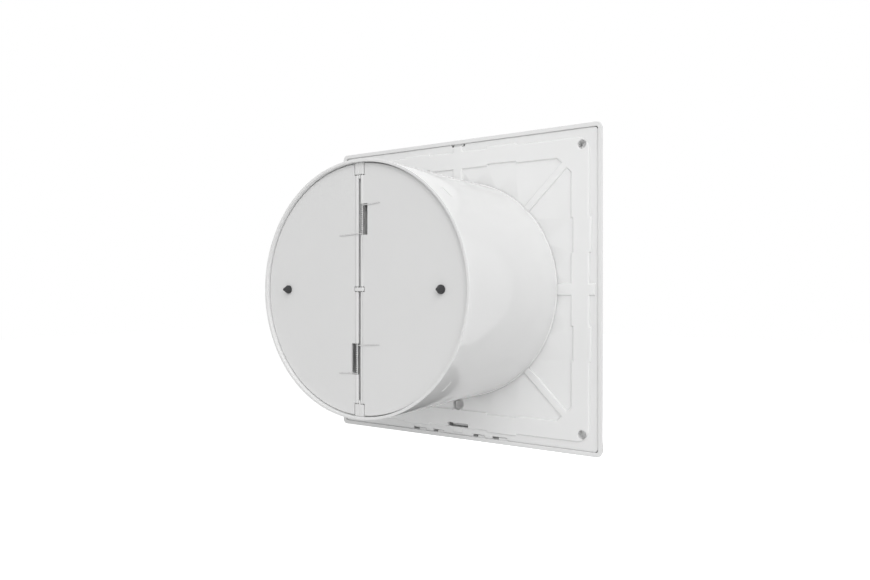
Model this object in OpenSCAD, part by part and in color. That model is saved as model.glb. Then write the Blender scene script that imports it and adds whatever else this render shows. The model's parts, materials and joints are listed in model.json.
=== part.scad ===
// Square exhaust fan with a round duct spigot and a pair of sprung back-draught flaps.
// The wall face is the plane y = 0, +Y runs out through the duct and +Z is up.
// Left and right are as seen from the duct end, so left is +X.

/* [Front cover] */
// Gap between the shaft's end and the grille
face_gap = 1.5; // [1:0.5:4]
// How far the inlet's edge lies inside the duct's wall
inlet_lap = 3.6; // [3:0.2:6]
// Corner radius of the cover at the wall
cover_corner_r = 3; // [2:0.5:6]
// Width of the rim that shows from the wall side
rim_w = 2.2; // [2:0.1:3.4]
// Height of the cover's edge
rim_h = 3; // [2:0.5:4]
// How far the edge draws in over that height
rim_draft = 0.4; // [0.2:0.1:0.6]
// Wall of the cover
cover_t = 2.2; // [1.8:0.2:2.6]
// Height of the shoulder behind the straight edge
shoulder_h = 3; // [2:0.5:4]
// How far the shoulder steps in
shoulder_in = 2.7; // [2:0.2:3.2]
// How far the sides have drawn in where the face begins to round
side_in = 11.5; // [10:0.5:14]
// How far the flat face lies inside the rim
face_in = 14.5; // [13:0.5:18]
// Height of the rounding between side and face
face_round = 3; // [2:0.5:4]
// Width of the grille's rim
collar_w = 2; // [1.5:0.5:3]
// Depth of the grille's rim
collar_h = 5; // [4:0.5:5]
// Gap between the grille's rim and the shroud
shroud_gap = 1.4; // [1:0.2:2]
// Width of the lip that holds the grille behind the face
lip_w = 2.2; // [1.8:0.1:3]
// Thickness of that lip
lip_t = 1.2; // [1:0.1:1.4]
// Clearance of the grille in the cover
grille_gap = 0.1; // [0.05:0.05:0.2]
// Thickness of a grille slat
slat_t = 1.6; // [1.4:0.2:2.4]
// Distance from slat to slat
slat_pitch = 5.6; // [5.2:0.2:8]
// Depth of a slat
slat_depth = 4; // [3:0.5:4.5]
// Width of an upright grille bar
bar_w = 2; // [1.6:0.2:3]
// Gap beside the release tab in its slot
tab_side_gap = 2; // [1:0.5:3]
// Gap over and under the release tab in its slot
tab_gap = 0.4; // [0.3:0.05:0.6]
// Gap between cover rim and base plate
seam_gap = 0.2; // [0.15:0.05:0.4]

/* [Base plate] */
// Height of the space for the wires, between the shroud and the locating wall
wire_room = 16.8; // [15:0.2:24]
// Thickness of the base plate
plate_t = 2.2; // [1.8:0.2:3]
// Corner radius of the base plate
plate_corner_r = 2.4; // [1:0.2:4]
// Height of the stiffening ribs, which rest on the wall
bead_h = 0.9; // [0.6:0.1:1.4]
// Distance of a wall screw from the plate's edge
screw_edge = 8.6; // [7.5:0.1:9]
// Radius of a wall screw hole
screw_hole_r = 2.3; // [2:0.1:2.6]
// Radius of the boss round a screw hole
screw_boss_r = 4.4; // [4:0.2:4.8]
// Height of that boss
screw_boss_h = 4; // [3:0.5:5]
// Distance of the rib frame from the plate's edge
band_edge = 4.7; // [4:0.1:5.4]
// Width of the rib frame
band_w = 9.9; // [9:0.1:12]
// Radius of the rib frame's outer corners
band_corner_r = 7; // [5:0.5:9]
// Chamfer of the rib frame's inner corners
band_chamfer = 8; // [6:1:10]
// Width of the ribs in line with the centre
tie_w = 6; // [4:0.5:8]
// Width of the diagonal ribs
diagonal_w = 4; // [3:0.5:6]
// Step where the rib frame jogs outwards
jog = 1; // [0.6:0.2:1.4]
// Where each jog begins, from the middle of the side
jog_from = 19.5; // [18:0.5:22]
// Length of each jog
jog_len = 18.5; // [16:0.5:20]
// Radius of the cable hole
cable_hole_r = 3.6; // [3.4:0.1:4]
// Web between the duct and the cable hole
cable_hole_web = 0.65; // [0.6:0.05:1.4]
// Depth of the notches in the plate's edge
notch_depth = 1.4; // [1.2:0.1:1.8]
// Width of the notch at the top
top_notch_w = 9; // [8:0.5:12]
// Width of the two inner notches at the bottom
inner_notch_w = 7.5; // [6:0.5:8]
// Width of the two outer notches at the bottom
outer_notch_w = 9.5; // [8:0.5:10]
// Distance of the inner notches from the middle
inner_notch_x = 13.75; // [13:0.25:14.5]
// Distance of the outer notches from the middle
outer_notch_x = 27.25; // [26:0.25:29]
// Width of the slot above the bottom edge
slot_w = 14; // [10:1:16]
// Height of that slot
slot_h = 2.2; // [1.8:0.2:2.6]
// Distance of that slot's middle from the plate's edge
slot_edge = 5.7; // [5:0.1:6.4]
// Distance of the locating wall from the plate's edge
fence_edge = 4.3; // [3.9:0.1:5]
// Thickness of the locating wall
fence_t = 1.4; // [1.2:0.2:2]
// Height of the locating wall
fence_h = 5; // [3:0.5:5.5]
// Corner radius of the locating wall
fence_corner_r = 7; // [6:0.5:9]

/* [Duct] */
// Outside diameter of the duct spigot
duct_d = 124; // [123:0.5:125]
// Wall of the duct
duct_wall = 1.4; // [1.2:0.1:1.8]
// Length of the duct from the wall face
duct_len = 92; // [90:1:110]
// Clearance of the duct in the base plate
duct_fit = 0.05; // [0.03:0.01:0.1]
// Radius of an ear that fixes the duct to the plate
ear_r = 4; // [3.6:0.1:4.4]
// Thickness of such an ear
ear_t = 2.4; // [2:0.2:3]
// Radius of a screw that fixes the duct
duct_screw_r = 1.3; // [1.2:0.1:1.5]
// Wall of the shroud
shroud_wall = 2; // [1.6:0.2:2.4]

/* [Struts] */
// Thickness of a motor strut
strut_t = 3; // [2.4:0.2:4]
// Depth of a motor strut along the duct
strut_h = 7; // [6:0.5:7]
// Distance of the struts' back from the wall face
strut_back = 1.5; // [1.2:0.1:1.5]
// Direction of the strut that carries the leads
strut_angle = -70; // [-72:1:-68]
// How far the motor seat reaches past its pillars
seat_edge = 3; // [2:0.5:4]
// Thickness of the motor seat
seat_t = 3; // [2.4:0.2:4]
// Radius of the hole in the motor seat
seat_hole_r = 9; // [8:0.5:10]
// Radius of a motor pillar
pillar_r = 4; // [3.6:0.1:4.2]
// Height of a motor pillar
pillar_h = 25.5; // [24.5:0.5:28]

/* [Motor] */
// Thickness of the lamination stack
stack_t = 14; // [13:0.5:18]
// Width of a stator limb
limb_w = 8; // [7:0.5:8]
// Least wall between the rotor bore and the limbs' inner sides
bore_wall = 1.7; // [1.4:0.1:2.4]
// Wall of the stator's head over the rotor bore
head_wall = 2.2; // [2:0.1:3]
// Gap between the stator's head and the coil
coil_drop_gap = 8.2; // [7.5:0.1:10]
// Radius of the rotor bore
stator_bore_r = 12.3; // [12:0.1:12.5]
// Gap between rotor and stator
air_gap = 0.4; // [0.3:0.05:0.5]
// How far the rotor stays inside the stack at each end
rotor_inset = 0.4; // [0.3:0.1:0.8]
// Radius of the motor shaft
shaft_r = 1.6; // [1.5:0.1:2]
// Running clearance of the shaft in its bearings
shaft_clearance = 0.04; // [0.02:0.01:0.08]
// Radius of the rotor's hub
rotor_hub_r = 3; // [2.8:0.1:3.6]
// Outer radius of a bearing
bearing_r = 4; // [3.6:0.1:4.4]
// Length of a bearing
bearing_len = 8; // [6:0.5:8]
// Thickness of a thrust washer
washer_t = 0.8; // [0.6:0.1:1.2]
// End play at a thrust washer
end_play = 0.1; // [0.05:0.05:0.15]
// Radius of the boss that holds a bearing
bearing_boss_r = 6.5; // [6:0.1:7]
// Thickness of a bearing bracket
bracket_t = 2; // [1.6:0.2:2.4]
// Width of a bearing bracket
bracket_w = 12; // [11:0.5:14]
// Height of a bracket's bridge over the stator
bracket_rise = 10; // [9.5:0.5:11]
// Thickness of the copper on the bobbin
coil_t = 5; // [4:0.5:5]
// Gap between a bobbin flange and the limb beside it
coil_side_gap = 1.4; // [1:0.1:2]
// Wall of the bobbin
bobbin_t = 1; // [0.8:0.1:1.2]
// Width of the bobbin's tag block, where the leads end
tag_w = 7.5; // [7:0.5:9]
// Thickness of the tag block
tag_t = 2; // [1.6:0.2:2.6]
// Clearance between bobbin and stator
bobbin_gap = 0.3; // [0.2:0.1:0.4]
// Radius of a motor screw
motor_screw_r = 1.5; // [1.4:0.1:1.6]
// Radius of a motor screw's head
motor_screw_head_r = 2.8; // [2.6:0.1:3]
// Depth that a motor screw goes into its pillar
motor_screw_bite = 12; // [10:1:16]
// Radius of a motor lead
lead_r = 0.8; // [0.7:0.05:0.9]
// Thickness of a copper shading ring
shading_t = 1.2; // [1:0.1:1.4]

/* [Impeller] */
// Number of blades
blade_n = 7; // [5:1:9]
// Gap between blade tips and shroud
tip_gap = 2; // [1.6:0.2:3]
// Outer radius of the hub
hub_r = 27; // [26.8:0.2:29]
// Wall of the hub
hub_t = 1.8; // [1.6:0.1:2.2]
// Length of the hub
hub_len = 17; // [16.5:0.5:17.5]
// Gap between the hub and the struts
hub_gap = 1; // [0.8:0.1:1.4]
// Radius of the boss on the shaft
boss_r = 5; // [4:0.5:6]
// Length of that boss
boss_len = 13; // [10:0.5:13.5]
// Chord of a blade at its root
root_chord = 20; // [16:0.5:20]
// Chord of a blade at its tip
tip_chord = 31; // [26:0.5:31]
// Angle of a blade at its root, from the plane it turns in
root_pitch = 42; // [38:1:44]
// Angle of a blade at its tip, from the plane it turns in
tip_pitch = 25; // [22:1:26]
// Thickness of a blade
blade_t = 1.8; // [1.4:0.1:2]
// Camber of a blade as a share of its chord
camber_share = 0.07; // [0.04:0.01:0.09]
// Radius of the clip on the shaft's end
clip_r = 4; // [3.5:0.1:4.5]
// Thickness of that clip
clip_t = 1; // [0.8:0.1:1.2]

/* [Damper] */
// Wall of the damper ring
ring_wall = 1.4; // [1.2:0.1:1.6]
// Clearance of the damper ring in the duct
ring_gap = 0.1; // [0.05:0.05:0.2]
// Length of the damper ring
ring_len = 18; // [16:1:22]
// Gap between the flaps and the duct round them
flap_gap = 0.4; // [0.3:0.05:0.6]
// Width of the ledge that the flaps close against
ledge_w = 1.7; // [1.4:0.1:2.4]
// Thickness of that ledge
ledge_t = 1.5; // [1.2:0.1:2]
// Gap between a shut flap and the ledge
ledge_gap = 0.3; // [0.25:0.05:0.4]
// How far the flaps' faces lie inside the duct's end
flap_sunk = 2; // [1.6:0.1:2.4]
// Thickness of a flap
flap_t = 1.2; // [1:0.1:1.4]
// Half the gap between the two flaps
split_half = 0.6; // [0.5:0.05:0.8]
// Radius of a flap's rolled edge
barrel_r = 0.95; // [0.9:0.05:1.05]
// Radius of a hinge pin
pin_r = 0.4; // [0.35:0.05:0.45]
// Clearance of a hinge pin in its holes
pin_clearance = 0.05; // [0.03:0.01:0.08]
// How far a pivot lug stands in from the ring
lug_len = 4.2; // [3.8:0.1:5]
// How far a pivot lug reaches past its pin
lug_edge = 1.15; // [1.05:0.05:1.4]
// Gap between a lug and the flap round it
lug_gap = 0.4; // [0.4:0.1:0.9]
// Chamfer of a lug's outer edges, which lets the flap turn past it
lug_chamfer = 0.45; // [0.45:0.05:0.6]
// Gap between the end of a rolled edge and its lug
end_gap = 0.4; // [0.3:0.1:0.6]
// How far the lugs rise above the flaps' faces
lug_rise = 0.4; // [0.3:0.1:0.5]
// Half height of the bracket in the middle
bracket_half = 0.9; // [0.8:0.1:1.4]
// Width of the centre bar, over both its ribs
mullion_w = 3; // [2.4:0.2:3.6]
// Depth of the centre bar
mullion_h = 9; // [6:0.5:10]
// Gap between the centre bar and the rolled edges
mullion_gap = 0.45; // [0.35:0.05:0.6]
// Length of a latch tooth round the ring
tooth_len = 6.3; // [5:0.1:8]
// Width of a latch tooth
tooth_w = 0.9; // [0.7:0.1:1.4]
// Distance of the latch teeth from the duct's end
tooth_back = 11.5; // [10:0.5:13]
// Direction of the latch teeth from the horizontal
tooth_angle = 45.6; // [40:0.2:50]
// Clearance round a latch tooth
tooth_gap = 0.2; // [0.15:0.05:0.3]
// Distance of a bumper from the flap's round edge
bumper_in = 13.7; // [11:0.1:17]
// Height of a bumper's cone
bumper_h = 4; // [3:0.2:4.2]
// Radius of a bumper's base
bumper_r = 2.1; // [1.8:0.1:2.4]
// Radius of a bumper's tip
bumper_tip_r = 0.8; // [0.6:0.1:1]
// Radius of a bumper's stem
bumper_stem_r = 1.2; // [1:0.1:1.4]

/* [Springs] */
// Radius of the spring wire
wire_r = 0.2; // [0.18:0.01:0.22]
// Gap between the pin and the coil round it
coil_gap = 0.12; // [0.08:0.01:0.2]
// Curls in a spring
curl_n = 15; // [12:1:15]
// Length of a spring's coil
spring_len = 13.5; // [12.5:0.1:14]
// Distance from the rolled edge's end to the middle of a coil
spring_in = 21.1; // [18:0.1:24]
// Reach of a leg from the centre line
leg_reach = 12.2; // [10:0.2:14]
// How far a leg's end spreads away from the coil
leg_spread = 0.6; // [0:0.1:1]
// Width of the window for a coil, from the centre line
window_w = 4.8; // [4:0.1:5.4]
// Room in the window at each end of the coil
window_gap = 0.45; // [0.4:0.05:0.8]

/* [Terminals] */
// Width of the terminal block
block_w = 24; // [22:1:26]
// Height of the terminal block
block_h = 10; // [9:0.5:10.5]
// Depth of the terminal block
block_d = 12; // [10:0.5:13]
// Gap between the strut's end and the terminal block
block_gap = 2.8; // [2.6:0.1:4]
// How far the terminal cover reaches up beside the shroud
lid_rise = 1.8; // [1:0.1:2.4]
// Height of the seat under the terminal block
block_seat = 1; // [0.8:0.1:1.2]
// Ways in the terminal block
way_n = 3; // [2:1:3]
// Radius of a terminal screw
terminal_screw_r = 1.4; // [1.2:0.1:1.6]
// Wall of the terminal cover
lid_t = 1.2; // [1:0.1:1.4]
// Gap round the block inside its cover
lid_gap = 0.5; // [0.4:0.1:0.6]
// Radius of the terminal cover's screw
lid_screw_r = 1.3; // [1.2:0.1:1.5]
// Radius of that screw's post
lid_post_r = 2.8; // [2.4:0.1:3]
// Width of the cable clamp's bar
clamp_w = 5; // [4.5:0.5:5.5]
// Thickness of the cable clamp's bar
clamp_t = 2; // [1.6:0.2:3]
// Gap between the cable clamp and the walls above and below it
clamp_edge = 0.9; // [0.6:0.1:1.4]
// Distance of the cable clamp from the centre line
clamp_x = 11; // [10.5:0.5:12]
// Room for the cable under the clamp
clamp_room = 7; // [5:0.5:9]
// Radius of a cable clamp screw
clamp_screw_r = 1.3; // [1.2:0.1:1.4]

/* [Hidden] */
$fn = 96;
// Overrun of cuts, and overlap of shapes that are joined
over = 1;
joint = 0.3;

// Plate, duct and cover, from the duct outwards
duct_r = duct_d / 2;
duct_in = duct_r - duct_wall;
shroud_r = duct_in + shroud_wall;
fence_w = 2 * (shroud_r + wire_room + fence_t);
plate_w = fence_w + 2 * fence_edge;
cover_w = plate_w + 2 * (rim_w + seam_gap);
half_w = cover_w / 2;
field_y = -bead_h;
plate_front = field_y - plate_t;
hole_xz = plate_w / 2 - screw_edge;
band_out = plate_w / 2 - band_edge;
band_in = band_out - band_w;
slot_z = plate_w / 2 - slot_edge;
cable_hole_z = -(shroud_r + duct_fit + cable_hole_web + cable_hole_r);
duct_ear_x = duct_r + ear_r;
inlet_r = duct_in - inlet_lap;
tongue_gap = 0.3;
tongue_share = 0.55;
latch_share = 0.7;

// Struts and motor
strut_y = -strut_back - strut_h;
seat_back = strut_y + seat_t;
pillar_top = seat_back + pillar_h;
stator_w = 2 * (stator_bore_r + bore_wall + limb_w);
head_h = 2 * (stator_bore_r + head_wall);
pillar_x = (stator_w - limb_w) / 2;
seat_r = pillar_x + pillar_r + seat_edge;
stator_y = pillar_top + bracket_t;
stator_mid = stator_y + stack_t / 2;
rotor_r = stator_bore_r - air_gap;
rotor_y = stator_y + rotor_inset;
rotor_len = stack_t - 2 * rotor_inset;
bridge_y = stator_y - bracket_rise;
bearing_y = bridge_y - bracket_t - bearing_len / 4;
washer_y = bearing_y + bearing_len + end_play;
washer_r = shaft_r * 2;
rotor_hub_y = washer_y + washer_t + end_play;
screw_head_y = stator_y + stack_t + bracket_t;
screw_head_t = motor_screw_r * 1.6;
shaft_end = 2 * stator_mid - bearing_y + washer_t;
flange_gap = 0.3;
sleeve_z = limb_w / 2 + bobbin_gap;
sleeve_y = stack_t / 2 + bobbin_gap;
coil_z = sleeve_z + bobbin_t + coil_t;
coil_y = sleeve_y + bobbin_t + coil_t;
coil_drop = head_h / 2 + coil_drop_gap + coil_z;
flange_x = stator_w - 2 * (limb_w + coil_side_gap);
coil_len = flange_x - 2 * (bobbin_t + flange_gap / 3);

// Impeller
hub_back = strut_y - hub_gap;
hub_front = hub_back - hub_len;
blade_tip_r = duct_in - tip_gap;
blade_mid = hub_back - hub_len / 2;
clip_y = hub_front - clip_t;
shaft_front = clip_y - clip_t;
cover_depth = slat_depth + face_gap - shaft_front;
shroud_front = -cover_depth + collar_h + shroud_gap;
blade_rings = 6;
blade_steps = 8;

// Damper
ring_r = duct_in - ring_gap;
ring_in = ring_r - ring_wall;
flap_r = duct_in - flap_gap;
flap_face = duct_len - flap_sunk;
flap_back = flap_face - flap_t;
ledge_back = flap_back - ledge_gap;
ring_front = ledge_back - ring_len;
pin_x = split_half + barrel_r;
pin_y = flap_face - flap_t / 2;
hole_r = pin_r + pin_clearance;
mullion_back = pin_y - barrel_r - mullion_gap;
lug_y = flap_face + lug_rise;
lug_z = ring_in - lug_len;
barrel_half = lug_z - end_gap;
lug_half = pin_x + lug_edge;
bumper_x = flap_r - bumper_in;
pin_half = lug_z + (ring_in - lug_z) * 0.75;
lug_front = ring_front + ring_len / 2;
notch_x = lug_half + lug_gap;
tooth_y = duct_len - tooth_back;
bumper_head_r = bumper_r * 0.9;
bumper_head_t = bumper_stem_r;

// Springs
curl_steps = 8;
wire_sides = 6;
curl_pitch = spring_len / curl_n;
coil_r = pin_r + coil_gap + wire_r;
spring_mid = barrel_half - spring_in;
leg_y = flap_face + wire_r + 0.5 * wire_r;
hump_y = pin_y + barrel_r + wire_r + 0.4 * wire_r;
coil_top = pin_y + coil_r;
window_h = spring_len + 2 * (wire_r + window_gap);

// Terminals
block_y = plate_front - block_seat;
way_w = block_w / way_n;
lead_out_r = shroud_r + 3 * lead_r;
block_x = lead_out_r * cos(strut_angle) + block_gap;
lid_y = block_y - block_d - lid_gap - lid_t;
lid_x = block_x - lid_gap - lid_t;
lid_w = block_w + 2 * (lid_gap + lid_t);
lid_z = shroud_r - lid_rise;
block_z = lid_z + lid_gap + lid_t;
lid_h = block_h + 2 * (lid_gap + lid_t);
lid_screw_x = lid_x + lid_w + lid_post_r;
lid_screw_z = lid_z + lid_h - lid_post_r;
clamp_y = plate_front - clamp_room;
clamp_len = wire_room - 2 * clamp_edge;
clamp_z = shroud_r + wire_room / 2;
clamp_screw_dz = clamp_len / 2 - 1.6 * clamp_screw_r;

// Shape helpers

// Draws a shape in x and z and extrudes it from one y to another
module along_y(from, to) {
  translate([0, to, 0]) rotate([90, 0, 0]) linear_extrude(to - from) children();
}

// Turns a profile of radius and y about the Y axis
module about_y() {
  rotate([-90, 0, 0]) rotate_extrude() children();
}

module annulus(r_out, r_in) {
  difference() {
    circle(r_out);
    circle(r_in);
  }
}

module rounded_square(side, r) {
  square([side, side - 2 * r], center = true);
  square([side - 2 * r, side], center = true);
  for (sx = [-1, 1], sz = [-1, 1])
    translate([sx * (side / 2 - r), sz * (side / 2 - r)]) circle(r);
}

module four_corners(d) {
  for (sx = [-1, 1], sz = [-1, 1]) translate([sx * d, sz * d]) children();
}

// A tube of n sides swept along points that lie on bends about the Z axis
function unit(v) = v / norm(v);
function tangent(p, i) = unit(p[min(i + 1, len(p) - 1)] - p[max(i - 1, 0)]);
function side_dir(t) = unit(cross([0, 0, 1], t));
function tube_ring(p, i, r, n) =
  let (t = tangent(p, i), a = side_dir(t), b = cross(t, a))
  [for (k = [0:n - 1]) p[i] + r * (cos(360 * k / n) * a + sin(360 * k / n) * b)];
function fan_faces(first, n, turned) =
  [for (k = [1:n - 2]) turned ? [first, first + k + 1, first + k] : [first, first + k, first + k + 1]];
function skin_faces(rings, n) =
  [for (i = [0:rings - 2], k = [0:n - 1])
    let (a = i * n + k, b = i * n + (k + 1) % n)
    each [[a, a + n, b], [b, a + n, b + n]]];
module swept_tube(path, r, n) {
  rings = len(path);
  polyhedron(
    points = [for (i = [0:rings - 1]) each tube_ring(path, i, r, n)],
    faces = concat(
      skin_faces(rings, n),
      fan_faces(0, n, false),
      fan_faces((rings - 1) * n, n, true)
    )
  );
}

// Front cover

// Each slice is [depth from the wall, inset from the rim, corner radius]
corner_share = 0.6;
rim_lift = 0.3;
outer_slices = [
  [rim_lift, 0, cover_corner_r],
  [rim_h, rim_draft, cover_corner_r],
  [rim_h + shoulder_h, shoulder_in, cover_corner_r + corner_share * shoulder_in],
  [cover_depth - face_round, side_in, cover_corner_r + corner_share * side_in],
  [cover_depth, face_in, cover_corner_r + corner_share * face_in]
];
seam_corner_r = plate_corner_r / 2;
inner_slices = [
  [-over, rim_w, seam_corner_r],
  [rim_h, rim_w, seam_corner_r],
  [rim_h + shoulder_h, shoulder_in + cover_t, cover_corner_r + corner_share * shoulder_in],
  [cover_depth - face_round - cover_t, side_in + cover_t, cover_corner_r + corner_share * side_in],
  [cover_depth - cover_t, face_in + cover_t, cover_corner_r + corner_share * face_in]
];
// The release tab runs back to where the side's inner face has passed it
side_slope = (side_in - shoulder_in) / (cover_depth - face_round - cover_t - rim_h - shoulder_h);
tab_inset = half_w - slot_z + slot_h / 2 - tab_gap - shoulder_in - cover_t;
tab_root = rim_h + shoulder_h + tab_inset / side_slope;
corner_steps = 8;
function slice_ring(s) =
  let (r = s[2], c = half_w - s[1] - r)
  [for (q = [0:3], k = [0:corner_steps])
    let (a = 90 * (q + k / corner_steps))
    [(q % 3 == 0 ? c : -c) + r * cos(a), -s[0], (q < 2 ? c : -c) + r * sin(a)]];
module sliced_shell(slices) {
  n = 4 * (corner_steps + 1);
  rings = len(slices);
  polyhedron(
    points = [for (s = slices) each slice_ring(s)],
    faces = concat(
      [for (i = [0:rings - 2], k = [0:n - 1])
        let (a = i * n + k, b = i * n + (k + 1) % n) [a, a + n, b + n, b]],
      [[for (k = [0:n - 1]) k]],
      [[for (k = [n - 1:-1:0]) (rings - 1) * n + k]]
    )
  );
}

// A tongue on the inside of the rim, which slides into a notch of the base plate
module cover_tongue(x, notch_w, share) {
  w = notch_w * share;
  along_y(-rim_h - over, -rim_h / 2)
    translate([x - w / 2, half_w - rim_w - joint - (notch_depth - tongue_gap)])
      square([w, notch_depth - tongue_gap + 2 * joint]);
}

module front_cover() {
  color("white") {
    difference() {
      sliced_shell(outer_slices);
      sliced_shell(inner_slices);
      along_y(-cover_depth - over, over) circle(inlet_r + collar_w + grille_gap);
    }
    cover_tongue(0, top_notch_w, latch_share);
    for (sx = [-1, 1], n = [[inner_notch_x, inner_notch_w], [outer_notch_x, outer_notch_w]])
      mirror([0, 0, 1])
        cover_tongue(sx * n[0] - n[1] * (1 - tongue_share) / 2 + seam_gap, n[1], tongue_share);
    along_y(-tab_root, plate_front - seam_gap)
      translate([-slot_w / 2 + tab_side_gap, -slot_z - slot_h / 2 + tab_gap])
        square([slot_w - 2 * tab_side_gap, slot_h - 2 * tab_gap]);
  }
}

module inlet_grille() {
  slat_n = floor((inlet_r - slat_t) / slat_pitch);
  color("white") {
    along_y(-cover_depth, -cover_depth + collar_h) annulus(inlet_r + collar_w, inlet_r);
    along_y(-cover_depth + cover_t, -cover_depth + cover_t + lip_t)
      annulus(inlet_r + collar_w + lip_w, inlet_r + collar_w - joint);
    along_y(-cover_depth, -cover_depth + slat_depth) intersection() {
      circle(inlet_r + joint);
      union() {
        for (k = [-slat_n:slat_n]) translate([-inlet_r - over, k * slat_pitch - slat_t / 2])
          square([2 * (inlet_r + over), slat_t]);
        for (k = [-1:1]) translate([k * inlet_r / 2 - bar_w / 2, -inlet_r - over])
          square([bar_w, 2 * (inlet_r + over)]);
      }
    }
  }
}

// Base plate

module rib_frame() {
  difference() {
    union() {
      rounded_square(2 * band_out, band_corner_r);
      for (a = [0:90:270], s = [-1, 1]) rotate(a)
        translate([s * (jog_from + jog_len / 2) - jog_len / 2, band_out - joint])
          square([jog_len, jog + joint]);
    }
    difference() {
      square(2 * band_in, center = true);
      four_corners(band_in) rotate(45) square(band_chamfer * sqrt(2), center = true);
    }
    for (a = [0:90:270], s = [-1, 1]) rotate(a)
      translate([s * (jog_from + jog_len / 2) - jog_len / 2, band_in - joint])
        square([jog_len, jog + joint]);
  }
  for (a = [0:90:270]) rotate(a) translate([-tie_w / 2, duct_r - over])
    square([tie_w, plate_w / 2 - notch_depth - duct_r + over]);
  for (a = [45:90:315]) rotate(a) translate([duct_r - over, -diagonal_w / 2])
    square([band_in * sqrt(2) - duct_r + over - band_chamfer / 2, diagonal_w]);
}

module plate_openings() {
  circle(shroud_r + duct_fit);
  four_corners(hole_xz) circle(screw_hole_r);
  translate([0, cable_hole_z]) circle(cable_hole_r);
  translate([-slot_w / 2, -slot_z - slot_h / 2]) square([slot_w, slot_h]);
  translate([-top_notch_w / 2, plate_w / 2 - notch_depth])
    square([top_notch_w, notch_depth + over]);
  for (sx = [-1, 1], n = [[inner_notch_x, inner_notch_w], [outer_notch_x, outer_notch_w]])
    translate([sx * n[0] - n[1] / 2, -plate_w / 2 - over]) square([n[1], notch_depth + over]);
}

// Room for a latch tooth, or the tooth itself, at each of its four places
module tooth_places(r_in, r_out, gap) {
  along_y(tooth_y - tooth_w / 2 - gap, tooth_y + tooth_w / 2 + gap)
    for (a = [tooth_angle, 180 - tooth_angle, 180 + tooth_angle, -tooth_angle])
      intersection() {
        annulus(r_out, r_in);
        rotate(a) translate([0, -tooth_len / 2 - gap]) square([2 * r_out, tooth_len + 2 * gap]);
      }
}

// Where the leads run beside their strut, as distances across it
lead_lanes = [
  strut_t / 2 + lead_r * 1.3,
  strut_t / 2 + lead_r * 3.6
];

module base_plate() {
  color("whitesmoke") {
    difference() {
      union() {
        along_y(plate_front, field_y) rounded_square(plate_w, plate_corner_r);
        along_y(plate_front, 0) rib_frame();
        along_y(plate_front - screw_boss_h, plate_front + joint)
          four_corners(hole_xz) circle(screw_boss_r);
        along_y(plate_front - fence_h, plate_front + joint) difference() {
          rounded_square(fence_w, fence_corner_r);
          rounded_square(fence_w - 2 * fence_t, fence_corner_r - fence_t);
          translate([-slot_w / 2, -fence_w / 2 - over]) square([slot_w, fence_t + 2 * over]);
        }
      }
      along_y(plate_front - fence_h - screw_boss_h, over) plate_openings();
      along_y(plate_front - over, field_y) duct_screw_places() circle(duct_screw_r);
    }
    terminal_supports();
  }
}

// Fan duct: the spigot and the fan's shroud in one tube, with the struts that carry the motor

module duct_screw_places() {
  for (a = [45:90:315]) rotate(a) translate([duct_ear_x, 0]) children();
}

module fan_duct() {
  color("whitesmoke") {
    difference() {
      union() {
        along_y(-joint, duct_len) circle(duct_r);
        along_y(shroud_front, 0) circle(shroud_r);
        along_y(plate_front - ear_t, plate_front) duct_screw_places() {
          circle(ear_r);
          translate([-duct_ear_x + duct_in + over, -ear_r]) square([duct_ear_x - duct_in - over, 2 * ear_r]);
        }
      }
      along_y(shroud_front - over, duct_len + over) circle(duct_in);
      along_y(plate_front - ear_t - over, plate_front + over)
        duct_screw_places() circle(duct_screw_r * 1.1);
      tooth_places(duct_in - over, duct_r + over, tooth_gap);
      lead_holes();
    }
    motor_support();
  }
}

module duct_screws() {
  color("silver") for (a = [45:90:315]) rotate([0, -a, 0]) translate([duct_ear_x, 0, 0])
    small_screw(duct_screw_r, plate_front - ear_t, ear_t + plate_t - end_play);
}

module lead_holes() {
  for (v = lead_lanes) rotate([0, -strut_angle, 0])
    translate([duct_in - over, strut_y + strut_h / 2, -v]) rotate([0, 90, 0])
      cylinder(r = lead_r * 1.25, h = shroud_wall + 2 * over);
}

module motor_support() {
  along_y(strut_y, -strut_back) for (k = [0:2]) rotate(strut_angle + 120 * k)
    translate([seat_r - joint - over, -strut_t / 2])
      square([duct_in - seat_r + 2 * joint + over, strut_t]);
  difference() {
    union() {
      along_y(strut_y, seat_back) circle(seat_r);
      along_y(seat_back - joint, pillar_top)
        for (sx = [-1, 1]) translate([sx * pillar_x, 0]) circle(pillar_r);
    }
    along_y(strut_y - over, seat_back + over) circle(seat_hole_r);
    along_y(pillar_top - motor_screw_bite - end_play, pillar_top + over)
      for (sx = [-1, 1]) translate([sx * pillar_x, 0]) circle(motor_screw_r);
  }
}

module terminal_supports() {
  along_y(block_y, plate_front + joint)
    translate([block_x + over, -block_z - block_h + over]) square([block_w - 2 * over, block_h - 2 * over]);
  difference() {
    along_y(lid_y + lid_t, plate_front + joint)
      translate([lid_screw_x, -lid_screw_z]) circle(lid_post_r);
    along_y(lid_y + lid_t - over, plate_front - over)
      translate([lid_screw_x, -lid_screw_z]) circle(lid_screw_r);
  }
  difference() {
    along_y(clamp_y, plate_front + joint) for (s = [-1, 1])
      translate([clamp_x, -clamp_z + s * clamp_screw_dz]) circle(clamp_screw_r * 1.6);
    along_y(clamp_y - over, plate_front - over) for (s = [-1, 1])
      translate([clamp_x, -clamp_z + s * clamp_screw_dz]) circle(clamp_screw_r);
  }
}

// Damper ring, with its pivot lugs, centre bar and centre bracket

tongue_half = split_half * 0.8;
tongue_len = 2.5 * lug_rise + 1.5 * split_half;
pocket_from = bracket_half;
pocket_len = 3.4 * bracket_half;
pad_len = 3.6 * bracket_half;
slit_from = pocket_from + pocket_len + pad_len;
slit_len = lug_z - tongue_len - slit_from;
seam_w = 0.5 * split_half;

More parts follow.
